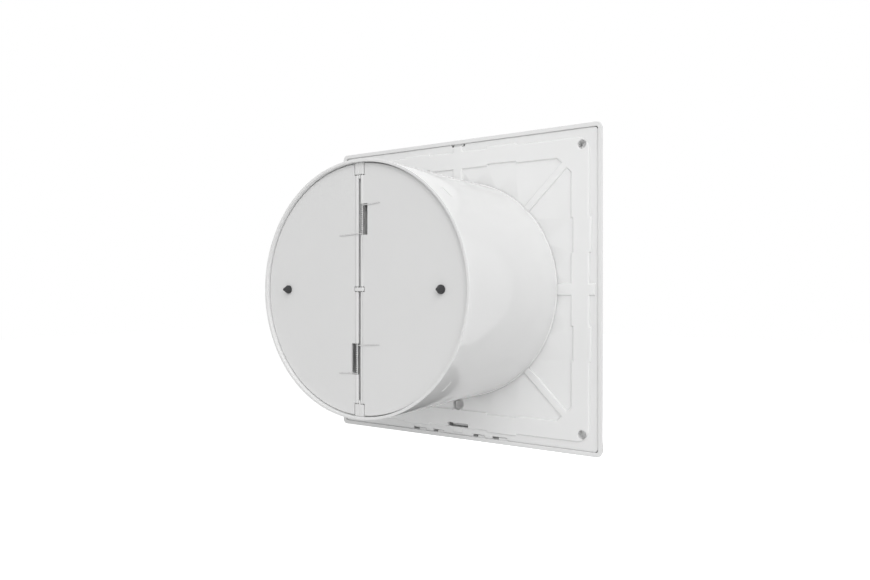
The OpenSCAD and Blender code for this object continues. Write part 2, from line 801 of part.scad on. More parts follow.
// A bar with chamfered outer edges, from one height to another, that holds both hinge pins
module lug_bar(from, to) {
  shoulder = lug_half - lug_chamfer;
  translate([0, 0, from]) linear_extrude(to - from) polygon([
    [-lug_half, lug_front], [lug_half, lug_front], [lug_half, lug_y - lug_chamfer],
    [shoulder, lug_y], [-shoulder, lug_y], [-lug_half, lug_y - lug_chamfer]
  ]);
}

module damper_ring() {
  color("white") difference() {
    union() {
      along_y(ring_front, ledge_back) annulus(ring_r, ring_in);
      along_y(ledge_back - ledge_t, ledge_back) annulus(ring_in + joint, ring_in - ledge_w);
      along_y(mullion_back - mullion_h, mullion_back) intersection() {
        circle(ring_in + joint);
        square([mullion_w, 2 * ring_r], center = true);
      }
      intersection() {
        along_y(lug_front, lug_y) circle(ring_r);
        union() {
          lug_bar(lug_z, ring_r);
          lug_bar(-ring_r, -lug_z);
        }
      }
      along_y(lug_front, flap_face) for (s = [-1, 1])
        translate([-tongue_half, s > 0 ? lug_z - tongue_len : -lug_z - joint])
          square([2 * tongue_half, tongue_len + joint]);
      lug_bar(-bracket_half, bracket_half);
      for (s = [-1, 1]) along_y(mullion_back - joint, mullion_back + mullion_gap / 2)
        translate([-tongue_half, s > 0 ? pocket_from + pocket_len : -pocket_from - pocket_len - pad_len])
          square([2 * tongue_half, pad_len]);
      tooth_places(ring_r - joint, duct_r - tooth_gap / 2, 0);
    }
    for (sx = [-1, 1]) translate([sx * pin_x, pin_y, -pin_half - end_gap])
      cylinder(r = hole_r, h = 2 * (pin_half + end_gap));
    for (s = [-1, 1]) {
      along_y(lug_y - seam_w, lug_y + over)
        translate([-seam_w / 2, s > 0 ? lug_z - over : -ring_r]) square([seam_w, ring_r - lug_z + over]);
      along_y(mullion_back - mullion_h - over, mullion_back + over)
        for (cut = [[pocket_from, pocket_len], [slit_from, slit_len]])
          translate([-split_half, s > 0 ? cut[0] : -cut[0] - cut[1]]) square([2 * split_half, cut[1]]);
    }
  }
}

// Flaps, drawn on the left and turned about the duct's axis for the right

module other_side() {
  rotate([0, 180, 0]) children();
}

module flap() {
  difference() {
    union() {
      along_y(flap_back, flap_face) intersection() {
        circle(flap_r);
        translate([pin_x, -flap_r]) square([flap_r, 2 * flap_r]);
      }
      translate([pin_x, pin_y, -barrel_half]) cylinder(r = barrel_r, h = 2 * barrel_half);
    }
    translate([pin_x, pin_y, -flap_r]) cylinder(r = hole_r, h = 2 * flap_r);
    along_y(flap_back - over, pin_y + barrel_r + over) {
      for (s = [-1, 1]) translate([0, s > 0 ? barrel_half : -barrel_half - flap_r])
        square([notch_x, flap_r]);
      translate([0, -bracket_half - end_gap]) square([notch_x, 2 * (bracket_half + end_gap)]);
      translate([0, -spring_mid - window_h / 2]) square([window_w, window_h]);
      translate([bumper_x, 0]) circle(bumper_stem_r);
    }
  }
}

module hinge_pin() {
  translate([pin_x, pin_y, -pin_half]) cylinder(r = pin_r, h = 2 * pin_half);
}

module bumper() {
  translate([bumper_x, 0, 0]) {
    about_y() {
      translate([0, flap_back]) square([bumper_stem_r, flap_t + joint]);
      translate([0, flap_back - bumper_head_t]) square([bumper_head_r, bumper_head_t]);
      polygon([
        [0, flap_face],
        [bumper_r, flap_face],
        [bumper_r, flap_face + bumper_tip_r],
        [bumper_tip_r, flap_face + bumper_h - bumper_tip_r],
        [0, flap_face + bumper_h - bumper_tip_r]
      ]);
    }
    translate([0, flap_face + bumper_h - bumper_tip_r, 0]) sphere(bumper_tip_r);
  }
}

// The wire comes over the other flap, winds round the pin and runs out over its own flap
leg_tops = [
  [-leg_reach, leg_y, leg_spread],
  [-leg_reach / 2, leg_y, leg_spread / 2],
  [-2 * pin_x, leg_y, leg_spread / 4],
  [-pin_x, hump_y, 0],
  [-pin_x / 4, hump_y, 0],
  [pin_x / 2, coil_top + wire_r / 2, 0]
];
coil_first = -spring_mid + spring_len / 2;
coil_last = -spring_mid - spring_len / 2;
spring_path = concat(
  [for (p = leg_tops) [p[0], p[1], coil_first + p[2]]],
  [for (i = [0:curl_n * curl_steps])
    [pin_x + coil_r * sin(360 * i / curl_steps),
     pin_y + coil_r * cos(360 * i / curl_steps),
     coil_first - curl_pitch * i / curl_steps]],
  [[pin_x + coil_r + wire_r, coil_top + wire_r / 2, coil_last],
   [window_w - wire_r, leg_y, coil_last],
   [leg_reach / 2 + window_w / 2, leg_y, coil_last - leg_spread / 2],
   [leg_reach, leg_y, coil_last - leg_spread]]
);
coil_start = len(leg_tops);
least_gap = min([
  for (i = [0:curl_n * curl_steps - curl_steps / 2], j = [i + curl_steps / 2:curl_n * curl_steps])
    norm(spring_path[coil_start + i] - spring_path[coil_start + j])
]) - 2 * wire_r;
echo(least_gap_between_curls = least_gap);

module spring() {
  swept_tube(spring_path, wire_r, wire_sides);
}

module left_flap() {
  color("gainsboro") flap();
}

module right_flap() {
  color("gainsboro") other_side() flap();
}

module left_hinge_pin() {
  color("silver") hinge_pin();
}

module right_hinge_pin() {
  color("silver") other_side() hinge_pin();
}

module left_bumper() {
  color("#333333") bumper();
}

module right_bumper() {
  color("#333333") other_side() bumper();
}

module lower_spring() {
  color("silver") spring();
}

module upper_spring() {
  color("silver") other_side() spring();
}

// Motor

module stator_outline() {
  difference() {
    union() {
      square([stator_w, head_h], center = true);
      for (s = [-1, 1]) translate([s * (stator_w - limb_w) / 2 - limb_w / 2, -coil_drop - limb_w / 2])
        square([limb_w, coil_drop]);
      translate([-stator_w / 2, -coil_drop - limb_w / 2]) square([stator_w, limb_w]);
    }
    circle(stator_bore_r);
    for (s = [-1, 1]) translate([s * pillar_x, 0]) circle(motor_screw_r * 1.1);
    for (s = [-1, 1]) translate([s * shading_x - shading_w / 2, s * shading_z - shading_t / 2 - shading_gap])
      square([shading_w, shading_t + 2 * shading_gap]);
  }
}

shading_gap = 0.1;
shading_w = 2.4 * shading_t;
shading_x = stator_bore_r * 0.8;
shading_z = stator_bore_r * 0.62 + 2.6 * shading_t;
shading_out = head_h / 2 + shading_gap;

module shading_ring() {
  translate([shading_x - shading_w / 2, 0, 0]) {
    translate([0, stator_y - shading_t, shading_z - shading_t / 2])
      cube([shading_w, stack_t + 2 * shading_t, shading_t]);
    translate([0, stator_y - shading_t, shading_out]) cube([shading_w, stack_t + 2 * shading_t, shading_t]);
    for (y = [stator_y - shading_t, stator_y + stack_t]) translate([0, y, shading_z - shading_t / 2])
      cube([shading_w, shading_t, shading_out + 1.5 * shading_t - shading_z]);
  }
}

module stator_core() {
  color("#6f7276") along_y(stator_y, stator_y + stack_t) stator_outline();
}

module shading_rings() {
  color("#b87333") {
    shading_ring();
    rotate([0, 180, 0]) shading_ring();
  }
}

// A box round the stator's lower limb, given by half its height and half its depth
module limb_box(len, half_z, half_y) {
  translate([-len / 2, stator_mid - half_y, -coil_drop - half_z]) cube([len, 2 * half_y, 2 * half_z]);
}

module coil_bobbin() {
  color("#e8e2d0") difference() {
    union() {
      limb_box(flange_x, sleeve_z + bobbin_t, sleeve_y + bobbin_t);
      for (s = [-1, 1]) translate([s * (flange_x - bobbin_t) / 2, 0, 0])
        limb_box(bobbin_t, coil_z + flange_gap, coil_y + flange_gap);
      translate([flange_x / 2 - tag_w, stator_mid - coil_y - flange_gap - tag_t, -coil_drop])
        cube([tag_w, tag_t, tag_t * 2]);
    }
    limb_box(flange_x + over, sleeve_z, sleeve_y);
  }
}

module coil_winding() {
  color("#b5651d") difference() {
    limb_box(coil_len, coil_z, coil_y);
    limb_box(coil_len + over, sleeve_z + bobbin_t, sleeve_y + bobbin_t);
  }
}

foot_in = pillar_x - pillar_r - 2 * bobbin_gap;
module bearing_bracket() {
  color("#c9ccd0") difference() {
    union() {
      translate([0, 0, -bracket_w / 2]) linear_extrude(bracket_w) polygon([
        [-stator_w / 2, stator_y], [-stator_w / 2, stator_y - bracket_t],
        [-foot_in, stator_y - bracket_t], [-foot_in, bridge_y - bracket_t],
        [foot_in, bridge_y - bracket_t], [foot_in, stator_y - bracket_t],
        [stator_w / 2, stator_y - bracket_t], [stator_w / 2, stator_y],
        [foot_in - bracket_t, stator_y], [foot_in - bracket_t, bridge_y],
        [-foot_in + bracket_t, bridge_y], [-foot_in + bracket_t, stator_y]
      ]);
      along_y(bearing_y + end_play, bridge_y) circle(bearing_boss_r);
    }
    along_y(bearing_y - over, bridge_y + over) circle(bearing_r);
    along_y(pillar_top - over, stator_y + over)
      for (s = [-1, 1]) translate([s * pillar_x, 0]) circle(motor_screw_r * 1.1);
  }
}

module bearing() {
  color("#a9804f") along_y(bearing_y, bearing_y + bearing_len)
    annulus(bearing_r, shaft_r + shaft_clearance);
}

// Mirrors a piece of the motor's front end to its rear end
module rear_end() {
  translate([0, 2 * stator_mid, 0]) mirror([0, 1, 0]) children();
}

module front_bearing_bracket() {
  bearing_bracket();
}

module rear_bearing_bracket() {
  rear_end() bearing_bracket();
}

module front_bearing() {
  bearing();
}

module rear_bearing() {
  rear_end() bearing();
}

module motor_shaft() {
  color("silver") along_y(shaft_front, shaft_end) circle(shaft_r);
}

module rotor_core() {
  color("#9aa0a6") {
    along_y(rotor_y, rotor_y + rotor_len) annulus(rotor_r, shaft_r);
    along_y(rotor_hub_y, 2 * stator_mid - rotor_hub_y) annulus(rotor_hub_r, shaft_r);
  }
}

module thrust_washers() {
  color("#d8d2c4") {
    along_y(washer_y, washer_y + washer_t) annulus(washer_r, shaft_r);
    rear_end() along_y(washer_y, washer_y + washer_t) annulus(washer_r, shaft_r);
  }
}

module motor_screws() {
  color("silver") for (s = [-1, 1]) translate([s * pillar_x, 0, 0]) {
    along_y(pillar_top - motor_screw_bite, screw_head_y + joint) circle(motor_screw_r);
    difference() {
      along_y(screw_head_y, screw_head_y + screw_head_t) circle(motor_screw_head_r);
      along_y(screw_head_y + screw_head_t / 2, screw_head_y + screw_head_t + over) {
        square([motor_screw_r * 2, motor_screw_r / 2], center = true);
        square([motor_screw_r / 2, motor_screw_r * 2], center = true);
      }
    }
  }
}

// Two leads run from the coil along their strut, through the shroud and to the terminal block
lead_start_y = stator_mid - coil_y - flange_gap - tag_t;
lead_strut_y = strut_y + strut_h / 2;
function on_strut(u, v, y) = [
  u * cos(strut_angle) + v * sin(strut_angle),
  y,
  u * sin(strut_angle) - v * cos(strut_angle)
];

module lead(points) {
  for (i = [0:len(points) - 2]) segment(points[i], points[i + 1]);
  for (i = [1:len(points) - 2]) translate(points[i]) sphere(lead_r * 1.08);
}

module segment(a, b) {
  d = b - a;
  translate(a) rotate([0, acos(d[2] / norm(d)), atan2(d[1], d[0])]) cylinder(r = lead_r, h = norm(d));
}

module motor_leads() {
  color("#c23b22") for (i = [0:1]) lead([
    on_strut(coil_drop, lead_lanes[i], lead_start_y),
    on_strut(coil_drop, lead_lanes[i], lead_strut_y),
    on_strut(lead_out_r, lead_lanes[i], lead_strut_y),
    [block_x - 2 * lead_r, lead_strut_y - block_seat, -block_z - (i + 1) * block_h / 3],
    [block_x, lead_strut_y - block_seat, -block_z - (i + 1) * block_h / 3]
  ]);
}

// Impeller

// A blade's section at one radius, wrapped round that radius, upper side first
function blade_line(r, side) =
  let (
    f = (r - hub_r) / (blade_tip_r - hub_r),
    chord = root_chord + f * (tip_chord - root_chord),
    pitch = root_pitch + f * (tip_pitch - root_pitch)
  )
  [for (j = [0:blade_steps])
    let (
      c = j / blade_steps,
      along = (c - 0.5) * chord,
      rise = camber_share * chord * 4 * c * (1 - c),
      half_t = blade_t * (0.2 + 0.3 * sqrt(sin(180 * c))),
      up = rise + side * half_t,
      across = along * cos(pitch) + up * sin(pitch),
      deep = -along * sin(pitch) + up * cos(pitch),
      a = 180 / PI * across / r
    )
    [r * cos(a), blade_mid + deep, r * sin(a)]];
function blade_ring(r) = concat(
  blade_line(r, 1),
  [for (j = [blade_steps:-1:0]) blade_line(r, -1)[j]]
);
function cap_faces(first, turned) =
  let (n = 2 * (blade_steps + 1))
  [for (j = [0:blade_steps - 1])
    let (a = first + j, b = first + j + 1, c = first + n - 2 - j, d = first + n - 1 - j)
    each turned ? [[a, c, b], [a, d, c]] : [[a, b, c], [a, c, d]]];

module blade() {
  n = 2 * (blade_steps + 1);
  root_r = hub_r - hub_t / 2;
  polyhedron(
    points = [for (i = [0:blade_rings - 1])
      each blade_ring(root_r + (blade_tip_r - root_r) * i / (blade_rings - 1))],
    faces = concat(
      skin_faces(blade_rings, n),
      cap_faces(0, false),
      cap_faces((blade_rings - 1) * n, true)
    )
  );
}

module impeller() {
  color("#f2f2f0") {
    difference() {
      along_y(hub_front, hub_back) circle(hub_r);
      along_y(hub_front + hub_t, hub_back + over) circle(hub_r - hub_t);
      along_y(hub_front - over, hub_front + hub_t + over) circle(shaft_r);
    }
    along_y(hub_front + hub_t - joint, hub_front + boss_len) annulus(boss_r, shaft_r);
    for (k = [0:2]) rotate([0, 120 * k, 0])
      translate([boss_r - joint, hub_front + hub_t - joint, -hub_t / 2])
        cube([hub_r - hub_t - boss_r + 2 * joint, boss_len / 2, hub_t]);
    for (k = [0:blade_n - 1]) rotate([0, 360 / blade_n * k, 0]) blade();
  }
}

module impeller_clip() {
  color("#8d9196") along_y(clip_y, hub_front) annulus(clip_r, shaft_r);
}

// Terminals

module terminal_block() {
  color("#f4f1e6") translate([block_x, block_y - block_d, -block_z - block_h]) difference() {
    cube([block_w, block_d, block_h]);
    for (i = [0:way_n - 1], s = [0, 1])
      translate([way_w * (i + 0.5), -over, block_h * (s + 0.5) / 2])
        rotate([-90, 0, 0]) cylinder(r = terminal_screw_r, h = block_d / 2 + over);
    for (i = [1:way_n - 1]) translate([way_w * i - lid_t / 2, -over, -over])
      cube([lid_t, block_d / 3 + over, block_h + 2 * over]);
  }
}

module terminal_screws() {
  color("#c8a850") translate([block_x, block_y - block_d / 2, -block_z - block_h])
    for (i = [0:way_n - 1], s = [0, 1]) translate([way_w * (i + 0.5), 0, block_h * (s + 0.5) / 2])
      rotate([90, 0, 0]) difference() {
        cylinder(r = terminal_screw_r, h = block_d / 3);
        translate([-terminal_screw_r - over, -terminal_screw_r / 5, block_d / 3 - terminal_screw_r / 2])
          cube([2 * (terminal_screw_r + over), terminal_screw_r * 0.4, terminal_screw_r]);
      }
}

module terminal_cover() {
  color("white") difference() {
    union() {
      along_y(lid_y, plate_front - lid_gap) translate([lid_x, -lid_z - lid_h]) square([lid_w, lid_h]);
      along_y(lid_y, lid_y + lid_t) {
        translate([lid_screw_x, -lid_screw_z]) circle(lid_post_r);
        translate([lid_x + lid_w - joint, -lid_screw_z - lid_post_r])
          square([lid_post_r + joint, 2 * lid_post_r]);
      }
    }
    along_y(lid_y + lid_t, plate_front) translate([lid_x + lid_t, -lid_z - lid_h + lid_t])
      square([lid_w - 2 * lid_t, lid_h - 2 * lid_t]);
    along_y(lid_y - over, lid_y + lid_t + over) translate([lid_screw_x, -lid_screw_z])
      circle(lid_screw_r * 1.1);
    along_y(lid_y + block_d / 3, plate_front + over) translate([lid_x - over, -lid_z - lid_h + 2 * lid_t])
      square([lid_t + 2 * over, lid_h - 4 * lid_t]);
  }
}

// A screw whose head rests on a face at one y and whose thread runs towards the wall
module small_screw(r, face_y, bite) {
  along_y(face_y - joint, face_y + bite) circle(r);
  difference() {
    along_y(face_y - 1.4 * r, face_y) circle(2 * r);
    along_y(face_y - 1.4 * r - over, face_y - 0.7 * r) {
      square([2.4 * r, 0.5 * r], center = true);
      square([0.5 * r, 2.4 * r], center = true);
    }
  }
}

module terminal_cover_screw() {
  color("silver") translate([lid_screw_x, 0, -lid_screw_z])
    small_screw(lid_screw_r, lid_y, block_d * 0.8);
}

module cable_clamp() {
  color("white") along_y(clamp_y - clamp_t, clamp_y) difference() {
    translate([clamp_x - clamp_w / 2, -clamp_z - clamp_len / 2]) square([clamp_w, clamp_len]);
    for (s = [-1, 1]) translate([clamp_x, -clamp_z + s * clamp_screw_dz]) circle(clamp_screw_r * 1.1);
  }
}

module cable_clamp_screws() {
  color("silver") for (s = [-1, 1]) translate([clamp_x, 0, -clamp_z + s * clamp_screw_dz])
    small_screw(clamp_screw_r, clamp_y - clamp_t, clamp_room * 0.8 + clamp_t);
}

base_plate();
fan_duct();
duct_screws();
front_cover();
inlet_grille();
damper_ring();
left_flap();
right_flap();
left_hinge_pin();
right_hinge_pin();
left_bumper();
right_bumper();
lower_spring();
upper_spring();
impeller();
impeller_clip();
motor_shaft();
rotor_core();
thrust_washers();
stator_core();
shading_rings();
coil_bobbin();
coil_winding();
front_bearing_bracket();
rear_bearing_bracket();
front_bearing();
rear_bearing();
motor_screws();
motor_leads();
terminal_block();
terminal_screws();
terminal_cover();
terminal_cover_screw();
cable_clamp();
cable_clamp_screws();
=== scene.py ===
# %% [markdown]
# # A square exhaust fan with back-draught flaps
#
# A fan like this is fixed to a wall or to a panel in a window. A square cover faces the room, a round
# duct goes through the opening, and two sprung flaps at the duct's end keep the weather out while the
# fan stands still. The picture shows it from outside, so the flaps, the duct and the ribbed back of
# the base plate are what we see first.
#
# The CAD model is already packed. It gives every piece its shape, place and movement, in metres. This
# script loads that model as a fixed frame and dresses it: it rounds the moulded edges, winds the
# springs finely, gives each material its finish, and sets the fan in a plain white studio.

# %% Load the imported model
import json
from math import cos, hypot, pi, radians, sin

import bmesh
import bpy
from mathutils import Matrix, Vector


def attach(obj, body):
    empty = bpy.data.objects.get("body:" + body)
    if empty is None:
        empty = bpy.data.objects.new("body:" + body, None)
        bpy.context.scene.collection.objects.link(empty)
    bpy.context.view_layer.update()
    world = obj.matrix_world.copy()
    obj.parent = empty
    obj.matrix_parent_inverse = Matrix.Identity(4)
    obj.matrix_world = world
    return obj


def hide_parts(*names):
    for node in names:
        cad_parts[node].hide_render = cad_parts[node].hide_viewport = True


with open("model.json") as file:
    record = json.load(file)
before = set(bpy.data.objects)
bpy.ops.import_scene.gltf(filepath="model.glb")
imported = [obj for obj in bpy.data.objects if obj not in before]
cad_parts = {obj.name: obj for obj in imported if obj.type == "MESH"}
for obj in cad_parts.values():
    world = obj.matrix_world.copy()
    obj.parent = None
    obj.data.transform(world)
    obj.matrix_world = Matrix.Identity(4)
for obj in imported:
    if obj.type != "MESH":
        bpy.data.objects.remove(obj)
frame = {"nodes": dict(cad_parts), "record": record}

MM = 0.001
scene = bpy.context.scene
scene.view_settings.view_transform = "Standard"
record = frame["record"]
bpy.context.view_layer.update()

# %% Which finish and which moving body each node has
slot_of = {part["node"]: part["material_slot"] for part in record["subparts"]}
body_of = {node: body for body, nodes in record["behaviour"]["bodies"].items() for node in nodes}

# %% [markdown]
# ## The camera
#
# The photograph was taken level with the duct's middle, so upright edges stay upright in it, and from
# so near that the plate's far side looks clearly smaller. A camera like that can be found by trial,
# or worked out from the picture. Here the four corners of the plate and the round end of the duct gave
# its distance, direction and lens together.

# %% Camera
EYE = Vector((-212.1, 348.6, -0.3)) * MM
SIGHT = Vector((0.5469, -0.8372, 0.0))
LENS = 28.80
SENSOR_WIDTH = 36.0

camera_data = bpy.data.cameras.new("camera")
camera_data.lens = LENS
camera_data.sensor_width = SENSOR_WIDTH
camera_data.clip_start = 10 * MM
camera = bpy.data.objects.new("camera", camera_data)
camera.location = EYE
camera.rotation_euler = SIGHT.to_track_quat("-Z", "Y").to_euler()
scene.collection.objects.link(camera)
scene.camera = camera
print("The camera stands", round(EYE.length / MM), "mm from the origin")

# %% [markdown]
# ## Writing shaders as arithmetic
#
# A finish is a small network of nodes. Wiring each one by hand hides the idea behind the plugs, so a
# thin class wraps an output socket and lets Python's own plus, minus and times add the Math nodes.
# Everything that is not arithmetic goes through one method, which takes the node's type, its settings
# and the values or links of its sockets. The finishes below can then be read like formulas.

# %% A value in a shader
class Value:
    """One output socket, which ordinary arithmetic can work with."""

    def __init__(self, shader, socket):
        self.shader = shader
        self.socket = socket

    def __add__(self, other):
        return self.shader.maths("ADD", self, other)

    def __radd__(self, other):
        return self.shader.maths("ADD", other, self)

    def __sub__(self, other):
        return self.shader.maths("SUBTRACT", self, other)

    def __rsub__(self, other):
        return self.shader.maths("SUBTRACT", other, self)

    def __mul__(self, other):
        return self.shader.maths("MULTIPLY", self, other)

    def __rmul__(self, other):
        return self.shader.maths("MULTIPLY", other, self)


# %% The nodes of one material or of the world
class Shader:
    """A node tree, with one method that adds any node and a few that name common ones."""

    def __init__(self, owner):
        owner.use_nodes = True
        self.tree = owner.node_tree
        self.tree.nodes.clear()

    def node(self, kind, settings=None, sockets=None, output=0):
        """Adds a node: its settings first, then a value or a link for each socket that is named."""
        made = self.tree.nodes.new("ShaderNode" + kind)
        for name, setting in (settings or {}).items():
            setattr(made, name, setting)
        for name, value in (sockets or {}).items():
            if isinstance(value, Value):
                self.tree.links.new(value.socket, made.inputs[name])
            else:
                made.inputs[name].default_value = value
        return Value(self, made.outputs[output]) if made.outputs else None

    def maths(self, operation, first, second):
        return self.node("Math", {"operation": operation}, {0: first, 1: second})

    def mix(self, mask, low, high):
        """One colour where the mask is 0, another where it is 1."""
        return self.node("Mix", {"data_type": "RGBA"}, {0: mask, 6: low, 7: high}, 2)

    def spread(self, value, low, high):
        """Spreads the stretch from low to high over 0 to 1, and stops there."""
        return self.node("MapRange", {"clamp": True}, {"Value": value, "From Min": low, "From Max": high})

    def place(self, stretch=(1.0, 1.0, 1.0)):
        """Where a point lies in the object, in metres, with each axis stretched."""
        where = self.node("TexCoord", output="Object")
        return self.node("Mapping", {"vector_type": "POINT"}, {"Vector": where, "Scale": stretch})

    def clouds(self, size, detail=2.0, stretch=(1.0, 1.0, 1.0)):
        """Soft random patches of about the given size in metres, from 0 to 1."""
        return self.node("TexNoise", None,
                         {"Vector": self.place(stretch), "Scale": 1 / size, "Detail": detail}, "Fac")

    def ridges(self, axis, pitch, wobble=0.0):
        """Even ridges across one axis, a pitch apart in metres, from 0 to 1."""
        return self.node("TexWave", {"wave_type": "BANDS", "bands_direction": axis, "wave_profile": "SIN"},
                         {"Vector": self.place(), "Scale": pi / (10 * pitch), "Distortion": wobble,
                          "Detail": 1.0}, "Fac")

    def relief(self, height, depth):
        """Bumps as deep as the given depth in metres, for the shader's Normal."""
        return self.node("Bump", None, {"Height": height, "Distance": depth}, "Normal")

    def seen(self):
        """1 for what is seen straight, in a gloss or through something clear, 0 for light that spreads."""
        straight, gloss, clear = (self.node("LightPath", output=ray) for ray in
                                  ("Is Camera Ray", "Is Glossy Ray", "Is Transmission Ray"))
        return self.maths("MAXIMUM", straight, self.maths("MAXIMUM", gloss, clear))


# %% A finish is a material with one surface shader
finishes = {}


def new_finish(name):
    """An empty material. Nearly all have the name of one of the record's material slots."""
    finishes[name] = bpy.data.materials.new(name)
    print("Finish:", name)
    return Shader(finishes[name])


def surface(shader, **sockets):
    """Ends a finish: what is given for each of the surface shader's sockets, its name in lower case."""
    named = {name.replace("_", " ").title().replace("Ior", "IOR"): value for name, value in sockets.items()}
    look = shader.node("BsdfPrincipled", None, named)
    shader.node("OutputMaterial", None, {"Surface": look})


def grey(level):
    return (level, level, level, 1.0)


def colour(red, green, blue):
    return (red, green, blue, 1.0)


# %% [markdown]
# ## The studio
#
# White goods on white are lit from all round, or their edges vanish. An even dome of light does that
# best, and the camera and the gloss see plain white in its place. Two large soft lamps add the
# direction that the picture has: one high up behind the camera, which leaves the duct's underside a
# little darker, and a weak one at the side, which reaches into the corner between duct and plate. A
# third lamp lights the room side. None of them shows in the gloss, where it would be a hard white spot.

# %% The dome of light
SKY_LEVEL = 0.65

world = bpy.data.worlds.new("studio_dome")
scene.world = world
dome = Shader(world)
seen = dome.seen()
strength = seen + (1 - seen) * SKY_LEVEL
background = dome.node("Background", None, {"Color": grey(1.0), "Strength": strength})
dome.node("OutputWorld", None, {"Surface": background})
print("The dome gives", SKY_LEVEL, "of plain white from every side")

# %% The soft lamps
LAMP_SIZE = 1.4


def soft_lamp(name, place, power):
    """A large square lamp at a place, in metres, that faces the fan."""
    place = Vector(place)
    data = bpy.data.lights.new(name, "AREA")
    data.size = LAMP_SIZE
    data.energy = power
    lamp = bpy.data.objects.new(name, data)
    lamp.location = place
    lamp.rotation_euler = (-place).to_track_quat("-Z", "Y").to_euler()
    lamp.visible_glossy = False
    scene.collection.objects.link(lamp)
    print(name, "gives", power, "W from", round(place.length, 2), "m")


soft_lamp("high_lamp", (-0.9, 1.3, 1.1), 16.4)
soft_lamp("side_lamp", (-1.5, 0.5, 0.3), 3.2)
soft_lamp("room_lamp", (0.4, -1.6, 0.5), 7.0)

# %% [markdown]
# ## Daylight inside the cover
#
# The picture's screw holes and cable hole are pale grey, not black. The cover is thin white plastic,
# so daylight comes through it and fills the space behind the plate. A ring of eight tiny lamps in that
# space stands for it. They belong to the scene and not to the fan, and neither the camera nor the
# gloss sees them.

# %% The inner lamps
INNER_POWER = 0.003
INNER_SIZE = 6 * MM
INNER_DEPTH = -17 * MM
INNER_PLACES = ((-66, 66), (0, 74), (66, 66), (74, 0), (66, -66), (24, -72), (-66, -66), (-74, 0))


def inner_lamp(name, place):
    """A tiny round lamp in the space between plate and cover."""
    data = bpy.data.lights.new(name, "POINT")
    data.shadow_soft_size = INNER_SIZE
    data.energy = INNER_POWER
    lamp = bpy.data.objects.new(name, data)
    lamp.location = place
    lamp.visible_camera = False
    lamp.visible_glossy = False
    scene.collection.objects.link(lamp)


for number, (x, z) in enumerate(INNER_PLACES, start=1):
    inner_lamp("inner_lamp_%d" % number, (x * MM, INNER_DEPTH, z * MM))

print(len(INNER_PLACES), "inner lamps of", INNER_POWER, "W")

# %% [markdown]
# ## The floor
#
# The fan is shown as a cut-out, so the floor lies well below it and only has to be pale, take the
# soft shadow, and run on to where the eye cannot follow. It is one flat sheet. Seen straight or in a
# reflection it is lifted to the white of the background.

# %% A flat sheet of the studio
def sheet(name, size, place, finish):
    """A level square around a place, in metres, which belongs to the studio and not to the fan."""
    shape = bmesh.new()
    bmesh.ops.create_grid(shape, x_segments=1, y_segments=1, size=size / 2)
    bmesh.ops.translate(shape, verts=shape.verts, vec=place)
    mesh = bpy.data.meshes.new(name)
    shape.to_mesh(mesh)
    shape.free()
    mesh.materials.append(finish)
    made = bpy.data.objects.new(name, mesh)
    scene.collection.objects.link(made)
    print(name, "is", size, "m wide and lies at the height", round(place[2], 2), "m")
    return made


# %% Floor
FLOOR_AT = (0, 0, -0.42)
FLOOR_SIZE = 12.0
FLOOR_GLOW = 0.42

floor_finish = bpy.data.materials.new("studio_floor")
floor_shader = Shader(floor_finish)
seen = floor_shader.seen()
floor_colour = floor_shader.mix(seen, grey(0.6), grey(0.95))
floor_glow = floor_shader.mix(seen, grey(0.0), grey(FLOOR_GLOW))
surface(floor_shader, base_color=floor_colour, roughness=0.9, specular_ior_level=0.0,
        emission_color=floor_glow, emission_strength=1.0)
sheet("studio_floor", FLOOR_SIZE, FLOOR_AT, floor_finish)

# %% [markdown]
# ## The dark card
#
# Near its end the duct's underside mirrors what lies behind the fan, past the plate's lower edge, and
# in the picture that is something dark. Photographers of glossy white goods place a black card for
# this, because a dark reflection draws an edge that white on white would lose. This card only acts as
# a reflection: the camera doesn't see it and it takes no light from the fan.

# %% Dark card
CARD_SIZE = 1.1
CARD_AT = (0.25, -0.75, -0.36)

card_finish = bpy.data.materials.new("studio_card")
card_shader = Shader(card_finish)
card_tone = card_shader.mix(card_shader.clouds(0.2), grey(0.03), grey(0.045))
surface(card_shader, base_color=card_tone, roughness=0.9, specular_ior_level=0.0)

card = sheet("studio_card", CARD_SIZE, CARD_AT, card_finish)
card.visible_camera = False
card.visible_diffuse = False
card.visible_shadow = False

# %% [markdown]
# ## Glossy white casing plastic
#
# Base plate, duct, cover and grille are moulded from glossy white plastic. A polished mould leaves a
# skin that is nearly a mirror but never quite flat: the surface rolls very gently, like orange peel,
# and the gloss changes a little where the melt flowed. A faint cloud in the colour, a cloud in the
# roughness and two sizes of bump are enough, all so weak that they only show in highlights.
#
# White plastic this thin also lets a little light through, which keeps holes and grooves from looking
# black. Half of the colour is therefore scattered below the skin, over a reach like the wall's
# thickness. The cover does without, because its narrow rim would glow against the light, and its white
# is a shade less bright than the plate's.
#
# The duct's end face is duller, as satin as the flaps inside it, and its colour is painted down to
# their grey as painted shade. A mask across the last bit of the duct's length changes over to that.

# %% Casing plastic
FLAP_LOW = colour(0.725, 0.725, 0.723)
FLAP_HIGH = colour(0.745, 0.746, 0.743)
DUCT_END_FROM = 91.65 * MM
DUCT_END_TO = 91.75 * MM
END_FACE_DULLER = 0.4
SCATTER_REACH = 2.5 * MM


